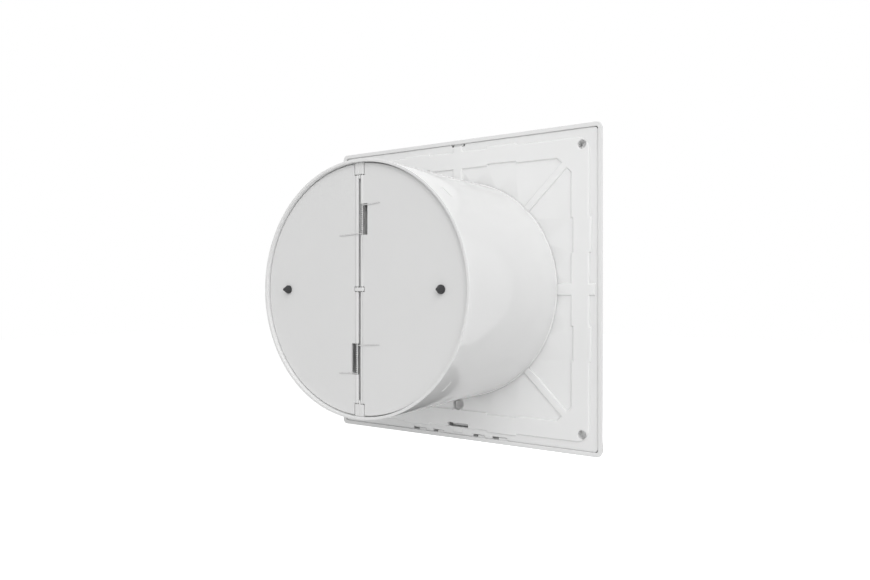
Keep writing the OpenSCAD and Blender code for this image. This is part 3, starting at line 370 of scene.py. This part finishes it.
def casing_plastic(name, low, high, scattered):
    """White plastic between two tones, which scatters a share of the light below its skin."""
    shader = new_finish(name)
    flow = shader.clouds(45 * MM, 3.0)
    peel = shader.clouds(2.2 * MM)
    grain = shader.clouds(0.3 * MM)
    white = shader.mix(flow, low, high)
    gloss = 0.07 + 0.05 * shader.clouds(18 * MM, 3.0) + 0.02 * grain
    along_duct = shader.node("SeparateXYZ", None, {"Vector": shader.place()}, "Y")
    # Across the duct's end face the colour is painted down to the flaps' grey, a painted shade, and the
    # roughness turns duller.
    end_shade_and_satin = shader.spread(along_duct, DUCT_END_FROM, DUCT_END_TO)
    tone = shader.mix(end_shade_and_satin, white, shader.mix(flow, FLAP_LOW, FLAP_HIGH))
    surface(shader, base_color=tone, roughness=gloss + END_FACE_DULLER * end_shade_and_satin, subsurface_weight=scattered,
            subsurface_radius=(1.0, 1.0, 1.0), subsurface_scale=SCATTER_REACH,
            normal=shader.relief(peel + 0.06 * grain, 0.012 * MM))


casing_plastic("casing_plastic", colour(0.805, 0.807, 0.805), colour(0.835, 0.836, 0.834), 0.5)
casing_plastic("cover_plastic", colour(0.765, 0.767, 0.765), colour(0.785, 0.786, 0.784), 0.0)

# %% [markdown]
# ## Satin flap plastic
#
# The flaps are thinner and come from another mould. In the picture they are one step darker than the
# duct and show no reflections, so their skin must be finely etched. Tiny grain in the bump and a
# higher roughness give that, with the faintest cloud in the tone.

# %% Flap plastic
def flap_plastic():
    shader = new_finish("flap_plastic")
    etched = shader.clouds(0.22 * MM, 3.0)
    tone = shader.mix(shader.clouds(30 * MM, 3.0), FLAP_LOW, FLAP_HIGH)
    surface(shader, base_color=tone, roughness=0.46 + 0.1 * etched,
            normal=shader.relief(etched, 0.006 * MM))


flap_plastic()

# %% [markdown]
# ## Rubber
#
# The bumpers are small black rubber buttons. Rubber is dark but not black: dust and bloom lighten it
# in patches, and its skin is dull with a fine pitting.

# %% Bumper rubber
def bumper_rubber():
    shader = new_finish("bumper_rubber")
    bloom = shader.clouds(0.9 * MM, 3.0)
    pits = shader.clouds(0.15 * MM)
    tone = shader.mix(bloom, colour(0.022, 0.022, 0.023), colour(0.05, 0.05, 0.052))
    surface(shader, base_color=tone, roughness=0.5 + 0.2 * bloom, normal=shader.relief(pits, 0.01 * MM))


bumper_rubber()

# %% [markdown]
# ## Metals of the moving parts
#
# Spring wire is drawn, so its marks run along it and it is bright. The shaft is ground, which leaves
# fine rings round it. Both are full metals: the colour is the metal's own, and the marks go into the
# roughness and a very shallow relief.

# %% Spring wire and shaft
def spring_steel():
    shader = new_finish("spring_steel")
    marks = shader.clouds(0.25 * MM, 3.0)
    tone = shader.mix(marks, grey(0.56), grey(0.68))
    surface(shader, base_color=tone, metallic=1.0, roughness=0.2 + 0.16 * marks,
            normal=shader.relief(marks, 0.003 * MM))


def shaft_steel():
    shader = new_finish("shaft_steel")
    rings = shader.clouds(3 * MM, 3.0, (0.05, 30.0, 0.05))
    stains = shader.clouds(5 * MM, 3.0)
    tone = shader.mix(stains, colour(0.56, 0.56, 0.58), colour(0.66, 0.66, 0.67))
    surface(shader, base_color=tone, metallic=1.0, roughness=0.22 + 0.16 * rings,
            normal=shader.relief(rings, 0.002 * MM))


spring_steel()
shaft_steel()

# %% [markdown]
# ## Stacked core plates
#
# The motor's core is a stack of half-millimetre steel plates, riveted together. From the side every
# plate shows as a fine line. Ridges across the motor's axis draw them, dark in the joints, and the
# plates' faces keep a cloudy blue-grey scale from the furnace.

# %% Core plates
PLATE_PITCH = 0.5 * MM


def lamination_steel():
    shader = new_finish("lamination_steel")
    scale = shader.clouds(4 * MM, 4.0)
    edges = shader.ridges("Y", PLATE_PITCH)
    bare = shader.mix(scale, colour(0.20, 0.21, 0.235), colour(0.33, 0.34, 0.36))
    tone = shader.mix(shader.spread(edges, 0.0, 0.5), colour(0.10, 0.095, 0.09), bare)
    surface(shader, base_color=tone, metallic=0.85, roughness=0.62 - 0.2 * scale,
            normal=shader.relief(edges + 0.3 * shader.clouds(0.4 * MM), 0.03 * MM))


lamination_steel()

# %% [markdown]
# ## Copper, winding and bobbin
#
# The winding is a few thousand turns of enamelled wire laid side by side round a plastic bobbin. Its
# turns are too fine to model one by one at this size, so ridges along the bobbin give each turn of
# the outer layer, wobbling as hand-guided wire does. The grooves between the turns are painted dark,
# as painted shade. The enamel is a clear coat over copper. The shading rings are bare copper that
# has gone brown in patches.

# %% Winding, shading rings and bobbin
WIRE_PITCH = 0.34 * MM


def winding():
    shader = new_finish("winding")
    turns = shader.ridges("X", WIRE_PITCH, 0.6)
    drift = shader.clouds(3 * MM, 3.0)
    wire = shader.mix(drift, colour(0.42, 0.15, 0.06), colour(0.62, 0.27, 0.11))
    # The grooves between the turns are painted dark brown here: painted shade.
    tone = shader.mix(shader.spread(turns, 0.0, 0.6), colour(0.12, 0.035, 0.02), wire)
    surface(shader, base_color=tone, metallic=0.7, roughness=0.3 + 0.15 * drift, coat_weight=0.6,
            normal=shader.relief(turns, 0.09 * MM))


def copper():
    shader = new_finish("copper")
    brown = shader.clouds(1.5 * MM, 4.0)
    tone = shader.mix(brown, colour(0.74, 0.37, 0.24), colour(0.42, 0.21, 0.14))
    surface(shader, base_color=tone, metallic=1.0, roughness=0.28 + 0.25 * brown,
            normal=shader.relief(shader.clouds(0.3 * MM), 0.006 * MM))


def bobbin_plastic():
    shader = new_finish("bobbin_plastic")
    cloud = shader.clouds(6 * MM, 3.0)
    tone = shader.mix(cloud, colour(0.74, 0.70, 0.58), colour(0.80, 0.77, 0.67))
    surface(shader, base_color=tone, roughness=0.42 + 0.12 * cloud, subsurface_weight=0.1,
            normal=shader.relief(shader.clouds(0.3 * MM), 0.008 * MM))


winding()
copper()
bobbin_plastic()

# %% [markdown]
# ## Cast, sintered, plated and turned metal
#
# Four small finishes differ mostly in their grain. A die-cast bracket has a dull skin with flow marks.
# A sintered bearing is full of pores, dark partly with oil and partly from painted shade in the
# holes. Zinc plating is bright with a bluish cloud.
# Turned brass is smooth, with rings from the tool.

# %% Bracket, bearing, screw and terminal metal
def bracket_metal():
    shader = new_finish("bracket_metal")
    skin = shader.clouds(0.8 * MM, 4.0)
    flow = shader.clouds(9 * MM, 3.0)
    tone = shader.mix(flow, colour(0.50, 0.51, 0.52), colour(0.62, 0.63, 0.64))
    surface(shader, base_color=tone, metallic=1.0, roughness=0.38 + 0.2 * skin,
            normal=shader.relief(skin, 0.02 * MM))


def bearing_bronze():
    shader = new_finish("bearing_bronze")
    pores = shader.clouds(0.18 * MM, 3.0)
    # The pores are painted dark: partly the oil in them, partly painted shade in the holes.
    tone = shader.mix(shader.spread(pores, 0.35, 0.6), colour(0.22, 0.14, 0.08), colour(0.58, 0.40, 0.22))
    surface(shader, base_color=tone, metallic=1.0, roughness=0.55 - 0.2 * pores,
            normal=shader.relief(pores, 0.03 * MM))


def screw_steel():
    shader = new_finish("screw_steel")
    cloud = shader.clouds(1.6 * MM, 3.0)
    tone = shader.mix(cloud, colour(0.62, 0.65, 0.70), colour(0.76, 0.76, 0.75))
    surface(shader, base_color=tone, metallic=1.0, roughness=0.2 + 0.14 * cloud,
            normal=shader.relief(shader.clouds(0.2 * MM), 0.004 * MM))


def terminal_brass():
    shader = new_finish("terminal_brass")
    cloud = shader.clouds(1.2 * MM, 3.0)
    tone = shader.mix(cloud, colour(0.70, 0.52, 0.22), colour(0.80, 0.65, 0.34))
    surface(shader, base_color=tone, metallic=1.0, roughness=0.24 + 0.16 * cloud,
            normal=shader.relief(shader.ridges("Y", 0.12 * MM), 0.002 * MM))


bracket_metal()
bearing_bronze()
screw_steel()
terminal_brass()

# %% [markdown]
# ## The remaining plastics
#
# The impeller is white like the casing but thinner and a little duller. Terminal block and washers
# are unpigmented nylon, which looks like old ivory. The leads' sleeves are soft red plastic.

# %% Impeller, terminal block, washer and lead plastic
def impeller_plastic():
    shader = new_finish("impeller_plastic")
    flow = shader.clouds(25 * MM, 3.0)
    grain = shader.clouds(0.5 * MM)
    tone = shader.mix(flow, colour(0.73, 0.735, 0.735), colour(0.77, 0.775, 0.772))
    surface(shader, base_color=tone, roughness=0.26 + 0.1 * flow,
            normal=shader.relief(shader.clouds(2.5 * MM) + 0.1 * grain, 0.015 * MM))


def terminal_plastic():
    shader = new_finish("terminal_plastic")
    cloud = shader.clouds(5 * MM, 3.0)
    tone = shader.mix(cloud, colour(0.76, 0.73, 0.64), colour(0.81, 0.79, 0.72))
    surface(shader, base_color=tone, roughness=0.38 + 0.12 * cloud, subsurface_weight=0.1,
            normal=shader.relief(shader.clouds(0.4 * MM), 0.008 * MM))


def washer_plastic():
    shader = new_finish("washer_plastic")
    cloud = shader.clouds(2 * MM, 3.0)
    tone = shader.mix(cloud, colour(0.60, 0.55, 0.45), colour(0.70, 0.66, 0.56))
    surface(shader, base_color=tone, roughness=0.45 + 0.1 * cloud,
            normal=shader.relief(shader.clouds(0.2 * MM), 0.006 * MM))


def lead_insulation():
    shader = new_finish("lead_insulation")
    dust = shader.clouds(4 * MM, 3.0)
    tone = shader.mix(dust, colour(0.50, 0.045, 0.03), colour(0.60, 0.09, 0.06))
    surface(shader, base_color=tone, roughness=0.36 + 0.16 * dust,
            normal=shader.relief(shader.clouds(0.5 * MM), 0.01 * MM))


impeller_plastic()
terminal_plastic()
washer_plastic()
lead_insulation()
print(len(finishes), "finishes:", ", ".join(sorted(finishes)))

# %% [markdown]
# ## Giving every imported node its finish
#
# Small plain pieces, such as pins, washers and bearings, already have their right shape. They stay as
# the CAD made them and only exchange their material.

# %% Finish the nodes
for name, node in frame["nodes"].items():
    node.data.materials.clear()
    node.data.materials.append(finishes[slot_of[name]])
print(len(frame["nodes"]), "nodes have a finish")

# %% [markdown]
# ## From CAD solid to moulded piece
#
# A CAD solid has edges without any radius, and light never catches them. On a moulded or cast piece
# every edge is rounded a little, and those thin highlights are what tells the eye that it is real.
# The piece could be modelled afresh, but its shape is already right. So we take a copy of the node's
# loose triangles, merge them, and bevel each edge that is sharper than a given angle. The bevel marks
# its own faces as weak and the old ones as strong, and weighted normals then listen to the strong
# ones, so that flats stay flat and all of the turn lies in the rounding.

# %% A copy of a node's shape
MERGE = 0.002 * MM


def copy_shape(node):
    """The node's shape as a mesh to work on, in which points that lie within the merge are one."""
    shape = bmesh.new()
    shape.from_mesh(frame["nodes"][node].data)
    bmesh.ops.remove_doubles(shape, verts=shape.verts, dist=MERGE)
    return shape


# %% Rounding edges
# An edge counts as sharp from this many degrees between its two faces.
SHARP = 30


def round_edges(shape, edges, radius, segments=2):
    """Bevels the edges into a rounding, whose new faces count as weak for the weighted normals."""
    bmesh.ops.bevel(shape, geom=edges, offset=radius, offset_type="OFFSET", affect="EDGES",
                    segments=segments, profile=0.5, material=-1, clamp_overlap=False,
                    face_strength_mode="ALL")


def sharp_edges(shape, angle=SHARP):
    """The edges where two faces meet at more than the angle, in degrees."""
    return [edge for edge in shape.edges
            if len(edge.link_faces) == 2 and edge.calc_face_angle() > radians(angle)]


# %% Making a shape a piece
def make_piece(name, shape, slot, finish=None):
    """An object at the origin with that shape, in its slot's finish or another, smooth but for its flats."""
    mesh = bpy.data.meshes.new(name)
    shape.to_mesh(mesh)
    shape.free()
    if mesh.has_custom_normals:
        mesh.attributes.remove(mesh.attributes["custom_normal"])
    mesh.materials.clear()
    mesh.materials.append(finishes[finish or slot])
    mesh.shade_smooth()
    piece = bpy.data.objects.new(name, mesh)
    scene.collection.objects.link(piece)
    flats = piece.modifiers.new("flats stay flat", "WEIGHTED_NORMAL")
    flats.use_face_influence = True
    return piece


def stand_for(piece, node):
    """The piece takes the node's place and moves as it does."""
    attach(piece, body_of[node])
    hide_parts(node)
    print(piece.name, "stands for", node, "with", len(piece.data.polygons), "faces")


# %% A rounded piece straight from its node
def rounded(name, node, radius, segments=2, keep=None, finish=None):
    """Rounds every sharp edge apart from those that keep picks out, in the node's finish or another."""
    shape = copy_shape(node)
    edges = [edge for edge in sharp_edges(shape) if not (keep and keep(edge))]
    round_edges(shape, edges, radius, segments)
    stand_for(make_piece(name, shape, slot_of[node], finish), node)


# %% [markdown]
# ## Base plate, duct and damper ring
#
# These three fill most of the picture. The plate's ribs are low and softly rolled, so they get the
# largest radius that their height allows. The duct's end and the damper ring's lugs are crisper. The
# ring's lugs look just like the flaps between them, so it gets the flaps' satin skin.

# %% Rounded housing mouldings
RIB_EDGE = 0.42 * MM
DUCT_EDGE = 0.25 * MM
RING_EDGE = 0.15 * MM
ROOT_R = 62.8 * MM
ROOT_REACH = 0.25 * MM


def at_the_root(edge):
    """Whether an edge lies on the circle where the duct comes through the plate."""
    return all(abs(hypot(vertex.co.x, vertex.co.z) - ROOT_R) < ROOT_REACH for vertex in edge.verts)


rounded("moulded_base_plate", "base_plate", RIB_EDGE, segments=3, keep=at_the_root)
rounded("moulded_fan_duct", "fan_duct", DUCT_EDGE)
rounded("moulded_damper_ring", "damper_ring", RING_EDGE, finish="flap_plastic")

# %% [markdown]
# ## Flaps
#
# Each flap is a thin half disc with a rolled edge that the hinge pin runs through. A small radius all
# round its edge is all that it needs.

# %% Flaps
FLAP_EDGE = 0.2 * MM

rounded("moulded_left_flap", "left_flap", FLAP_EDGE)
rounded("moulded_right_flap", "right_flap", FLAP_EDGE)

# %% [markdown]
# ## Front cover
#
# Seen from the room, the cover is a shallow square dish whose sides run up to a flat face. It could be
# cut from a block, but its section is what matters: a rim, a drawn-in side and a broad soft turn into
# the face. So it is built as a stack of rounded squares, one for each point of that section, and each
# square is bridged to the next. A square is one flat face whose corners are bevelled; only its outline
# is kept. The same is done for the inside. The face with its round inlet is filled flat, in front and
# behind, and a bridge between the two circles of the inlet closes the shell.

# %% A rounded square outline
COVER_HALF = 87.5 * MM
CORNER_STEPS = 12
CIRCLE_STEPS = 96
UPRIGHT = Matrix.Rotation(pi / 2, 4, "X")


def outline(shape, make):
    """The edges that a step adds to the shape, once its new faces are taken away again."""
    old = set(shape.edges)
    make()
    edges = [edge for edge in shape.edges if edge not in old]
    faces = list({face for edge in edges for face in edge.link_faces})
    bmesh.ops.delete(shape, geom=faces, context="FACES_ONLY")
    return edges


def square_outline(shape, depth, inset, corner):
    """A rounded square at a depth towards the room, drawn in from the cover's rim by the inset."""
    def make():
        made = bmesh.ops.create_grid(shape, x_segments=1, y_segments=1, size=COVER_HALF - inset,
                                     matrix=Matrix.Translation((0, -depth, 0)) @ UPRIGHT)
        bmesh.ops.bevel(shape, geom=made["verts"], offset=corner, offset_type="OFFSET",
                        affect="VERTICES", segments=CORNER_STEPS, profile=0.5, material=-1)
    return outline(shape, make)


def round_outline(shape, depth, radius):
    """A circle round the duct's axis at a depth towards the room."""
    def make():
        bmesh.ops.create_circle(shape, segments=CIRCLE_STEPS, radius=radius, cap_ends=True,
                                matrix=Matrix.Translation((0, -depth, 0)) @ UPRIGHT)
    return outline(shape, make)


# %% The cover's section
# Each point is a depth, an inset and a corner radius, in millimetres, from the rim to the face.
SOFT_STEPS = 5
FACE_DEPTH = 34.0
BACK_DEPTH = 31.8
outer_section = [
    (0.3, 0.0, 3.0),
    (3.0, 0.4, 3.0),
    (6.0, 2.7, 4.62),
    (31.0, 11.5, 9.9),
    (FACE_DEPTH, 14.5, 11.7),
]
inner_section = [
    (0.3, 2.35, 1.2),
    (3.0, 2.35, 1.2),
    (6.0, 4.9, 4.62),
    (28.8, 13.7, 9.9),
    (BACK_DEPTH, 16.7, 11.7),
]
on_the_face = (FACE_DEPTH, 20.0, 15.0)


def soft_turn(before, corner, after, reach):
    """Points on a curve that cuts a corner of the section, a reach before and after it."""
    before, corner, after = Vector(before), Vector(corner), Vector(after)
    start = corner + (before - corner).normalized() * reach
    end = corner + (after - corner).normalized() * reach
    shares = [k / SOFT_STEPS for k in range(SOFT_STEPS + 1)]
    return [start * (1 - t) ** 2 + corner * 2 * t * (1 - t) + end * t ** 2 for t in shares]


# The reaches at the rim's foot, the rim, the side and the face, in millimetres.
TURN_REACHES = (1.0, 1.0, 2.0, 2.0)

outer_points = [outer_section[0]]
turning = zip(outer_section, outer_section[1:], outer_section[2:] + [on_the_face], TURN_REACHES)
for before, corner, after, reach in turning:
    outer_points += soft_turn(before, corner, after, reach)
print("The cover's outer section has", len(outer_points), "points")

# %% The cover's shell
# Only the rim and the inlet are sharper than 60 degrees, so the soft turns stay as they are.
INLET_HOLE_R = 59.1 * MM
COVER_EDGE = 0.35 * MM
COVER_SHARP = 60


def bridge_all(shape, outlines):
    """Skins a row of outlines, each bridged to the next one."""
    for first, second in zip(outlines, outlines[1:]):
        bmesh.ops.bridge_loops(shape, edges=first + second)


cover_shape = bmesh.new()
outside = [square_outline(cover_shape, *(value * MM for value in point)) for point in outer_points]
inside = [square_outline(cover_shape, *(value * MM for value in point)) for point in inner_section]
face_hole = round_outline(cover_shape, FACE_DEPTH * MM, INLET_HOLE_R)
back_hole = round_outline(cover_shape, BACK_DEPTH * MM, INLET_HOLE_R)
bridge_all(cover_shape, inside[::-1] + outside)
bridge_all(cover_shape, [face_hole, back_hole])
for rim, hole in ((outside[-1], face_hole), (inside[-1], back_hole)):
    bmesh.ops.triangle_fill(cover_shape, edges=rim + hole, use_beauty=True)
bmesh.ops.recalc_face_normals(cover_shape, faces=cover_shape.faces)
round_edges(cover_shape, sharp_edges(cover_shape, COVER_SHARP), COVER_EDGE, 3)
print("The cover's shell has", len(cover_shape.faces), "faces")

# %% The cover's tongues and release tab
# Each notch in the plate's rim has a middle and a width, in millimetres, at the top, 1, or the foot, -1.
NOTCHES = [(0.0, 6.3, 1), (12.26, 4.125, -1), (25.31, 5.225, -1), (-15.24, 4.125, -1), (-29.19, 5.225, -1)]
TONGUE_FROM = 1.5 * MM
TONGUE_TO = 4.0 * MM
TONGUE_REACH = 1.4 * MM
TONGUE_ROOT = 0.3 * MM
RIM_W = 2.2 * MM
BLOCK_EDGE = 0.2 * MM
TAB_W = 10.0 * MM
TAB_H = 1.4 * MM
TAB_Z = -79.4 * MM
TAB_FROM = 3.3 * MM
TAB_TO = 16.1 * MM


def add_block(shape, low, high):
    """A box between two corners, with rounded edges, in the same shape."""
    low, high = Vector(low), Vector(high)
    size = high - low
    made = bmesh.ops.create_cube(shape, size=1.0, matrix=Matrix.Translation((low + high) / 2)
                                 @ Matrix.Diagonal((*size, 1.0)))
    edges = list({edge for vertex in made["verts"] for edge in vertex.link_edges})
    round_edges(shape, edges, BLOCK_EDGE)


for middle, width, side in NOTCHES:
    root = side * (COVER_HALF - RIM_W + TONGUE_ROOT)
    tip = side * (COVER_HALF - RIM_W - TONGUE_REACH)
    add_block(cover_shape, (middle * MM - width * MM / 2, -TONGUE_TO, min(root, tip)),
              (middle * MM + width * MM / 2, -TONGUE_FROM, max(root, tip)))
add_block(cover_shape, (-TAB_W / 2, -TAB_TO, TAB_Z - TAB_H / 2), (TAB_W / 2, -TAB_FROM, TAB_Z + TAB_H / 2))
stand_for(make_piece("moulded_front_cover", cover_shape, "casing_plastic", "cover_plastic"), "front_cover")

# %% The grille
GRILLE_EDGE = 0.4 * MM

rounded("moulded_inlet_grille", "inlet_grille", GRILLE_EDGE, segments=3)

# %% [markdown]
# ## Bumpers
#
# A bumper is a rubber button that is pulled through a hole in the flap: a cone outside, a stem in the
# hole and a head behind. It is round, so its half profile is drawn once and spun about its own axis.
# Merging the points that meet closes the spin's seam and the two poles.

# %% Bumpers
BUMPER_X = 46.5 * MM
FLAP_FACE = 90.0 * MM
FLAP_BACK = 88.8 * MM
BUMPER_R = 2.1 * MM
BUMPER_H = 4.0 * MM
TIP_R = 0.8 * MM
STEM_R = 1.2 * MM
HEAD_R = 1.89 * MM
BUMPER_EDGE = 0.12 * MM
BUMPER_SHARP = 40
TIP_STEPS = 6
SPIN_STEPS = 40


def bumper_profile():
    """Half of a bumper's outline, from its tip down to the middle of its head, as radius and height."""
    tip_y = FLAP_FACE + BUMPER_H - TIP_R
    tip = [(TIP_R * sin(pi / 2 * k / TIP_STEPS), tip_y + TIP_R * cos(pi / 2 * k / TIP_STEPS))
           for k in range(TIP_STEPS + 1)]
    waist = ((TIP_R + BUMPER_R) / 2, (tip_y + FLAP_FACE + TIP_R) / 2)
    skirt = [(BUMPER_R, FLAP_FACE + TIP_R), (BUMPER_R, FLAP_FACE), (STEM_R, FLAP_FACE)]
    head = [(STEM_R, FLAP_BACK), (HEAD_R, FLAP_BACK), (HEAD_R, FLAP_BACK - STEM_R), (0, FLAP_BACK - STEM_R)]
    return tip + [waist] + skirt + head


def bumper(name, node, side):
    """Spins the profile about the bumper's axis on the left flap, side 1, or the right one, side -1."""
    centre = Vector((side * BUMPER_X, 0, 0))
    shape = bmesh.new()
    points = [shape.verts.new(centre + Vector((radius, height, 0))) for radius, height in bumper_profile()]
    line = [shape.edges.new(pair) for pair in zip(points, points[1:])]
    bmesh.ops.spin(shape, geom=points + line, cent=centre, axis=(0, 1, 0), angle=2 * pi,
                   steps=SPIN_STEPS, use_merge=True)
    bmesh.ops.remove_doubles(shape, verts=shape.verts, dist=MERGE)
    bmesh.ops.recalc_face_normals(shape, faces=shape.faces)
    round_edges(shape, sharp_edges(shape, BUMPER_SHARP), BUMPER_EDGE, 3)
    stand_for(make_piece(name, shape, "bumper_rubber"), node)


bumper("left_rubber_bumper", "left_bumper", 1)
bumper("right_rubber_bumper", "right_bumper", -1)

# %% [markdown]
# ## Springs
#
# Two torsion springs of hair-thin wire pull the flaps shut. Each has a tight coil round one hinge pin
# and a leg on either flap. The CAD solid winds the same path with few sides. Here a curve with a round
# section follows it smoothly. The legs have to follow their own flaps when these open, and the coil
# stays on its pin, so a spring is made of three curves that meet end to end.

# %% The path of a spring
PIN_X = 1.55 * MM
PIN_Y = 89.4 * MM
WIRE_R = 0.2 * MM
COIL_R = 0.72 * MM
CURLS = 15
CURL_STEPS = 20
SPRING_LENGTH = 13.5 * MM
SPRING_MID = 33.4 * MM
LEG_REACH = 12.2 * MM
LEG_SPREAD = 0.6 * MM
WINDOW_W = 4.8 * MM
ROLL_R = 0.95 * MM
LEG_Y = FLAP_FACE + 1.5 * WIRE_R
HUMP_Y = PIN_Y + ROLL_R + 1.4 * WIRE_R
COIL_TOP = PIN_Y + COIL_R
COIL_FIRST = -SPRING_MID + SPRING_LENGTH / 2
COIL_LAST = -SPRING_MID - SPRING_LENGTH / 2

crossing_leg = [
    (-LEG_REACH, LEG_Y, COIL_FIRST + LEG_SPREAD),
    (-LEG_REACH / 2, LEG_Y, COIL_FIRST + LEG_SPREAD / 2),
    (-2 * PIN_X, LEG_Y, COIL_FIRST + LEG_SPREAD / 4),
    (-PIN_X, HUMP_Y, COIL_FIRST),
    (-PIN_X / 4, HUMP_Y, COIL_FIRST),
]
coil = [crossing_leg[-1], (PIN_X / 2, COIL_TOP + WIRE_R / 2, COIL_FIRST)] + [
    (PIN_X + COIL_R * sin(2 * pi * k / CURL_STEPS), PIN_Y + COIL_R * cos(2 * pi * k / CURL_STEPS),
     COIL_FIRST - SPRING_LENGTH * k / (CURLS * CURL_STEPS))
    for k in range(CURLS * CURL_STEPS + 1)
] + [(PIN_X + COIL_R + WIRE_R, COIL_TOP + WIRE_R / 2, COIL_LAST)]
own_leg = [
    coil[-1],
    (WINDOW_W - WIRE_R, LEG_Y, COIL_LAST),
    (LEG_REACH / 2 + WINDOW_W / 2, LEG_Y, COIL_LAST - LEG_SPREAD / 2),
    (LEG_REACH, LEG_Y, COIL_LAST - LEG_SPREAD),
]

# %% Wire curves
HALF_TURN = Matrix.Rotation(pi, 3, "Y")
WIRE_DETAIL = 3
CURVE_ORDER = 3
CURVE_DETAIL = 2


def wire(name, path, body, node, turned=False):
    """A round wire along a path, on the lower spring, or turned half round for the upper one."""
    line = bpy.data.curves.new(name, "CURVE")
    line.dimensions = "3D"
    line.bevel_depth = WIRE_R
    line.bevel_resolution = WIRE_DETAIL
    line.use_fill_caps = True
    spline = line.splines.new("NURBS")
    spline.points.add(len(path) - 1)
    for point, place in zip(spline.points, path):
        place = HALF_TURN @ Vector(place) if turned else Vector(place)
        point.co = (*place, 1.0)
    spline.order_u = CURVE_ORDER
    spline.use_endpoint_u = True
    spline.resolution_u = CURVE_DETAIL
    line.materials.append(finishes["spring_steel"])
    piece = bpy.data.objects.new(name, line)
    scene.collection.objects.link(piece)
    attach(piece, body)
    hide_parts(node)
    print(name, "stands for", node, "and moves with", body)


wire("lower_spring_coil", coil, "left_damper", "lower_spring")
wire("lower_spring_own_leg", own_leg, "left_damper", "lower_spring")
wire("lower_spring_crossing_leg", crossing_leg, "right_damper", "lower_spring")
wire("upper_spring_coil", coil, "right_damper", "upper_spring", True)
wire("upper_spring_own_leg", own_leg, "right_damper", "upper_spring", True)
wire("upper_spring_crossing_leg", crossing_leg, "left_damper", "upper_spring", True)

# %% [markdown]
# ## Motor, impeller and wiring
#
# Behind the flaps and behind the grille the motor and the impeller can be glimpsed, and they come
# into full view when the flaps open or the cover comes off. They are treated like the mouldings, each
# with the edge radius of its own process: large on a wound coil, small on a punched or turned piece.

# %% Rounded motor and impeller pieces
# Each has a name, the node it stands for, an edge radius in millimetres and the steps of the rounding.
ROUNDED = [
    ("moulded_impeller", "impeller", 0.2, 2),
    ("pressed_core_stack", "stator_core", 0.08, 2),
    ("pressed_rotor_stack", "rotor_core", 0.1, 2),
    ("bent_shading_rings", "shading_rings", 0.12, 2),
    ("moulded_bobbin", "coil_bobbin", 0.15, 2),
    ("wound_coil", "coil_winding", 0.8, 4),
    ("cast_front_bracket", "front_bearing_bracket", 0.25, 2),
    ("cast_rear_bracket", "rear_bearing_bracket", 0.25, 2),
    ("driven_motor_screws", "motor_screws", 0.08, 2),
    ("driven_duct_screws", "duct_screws", 0.08, 2),
    ("moulded_terminal_block", "terminal_block", 0.2, 2),
    ("slotted_terminal_screws", "terminal_screws", 0.06, 2),
    ("moulded_terminal_cover", "terminal_cover", 0.25, 2),
    ("driven_terminal_cover_screw", "terminal_cover_screw", 0.08, 2),
    ("moulded_cable_clamp", "cable_clamp", 0.25, 2),
    ("driven_cable_clamp_screws", "cable_clamp_screws", 0.08, 2),
]
for name, node, radius, segments in ROUNDED:
    rounded(name, node, radius * MM, segments)
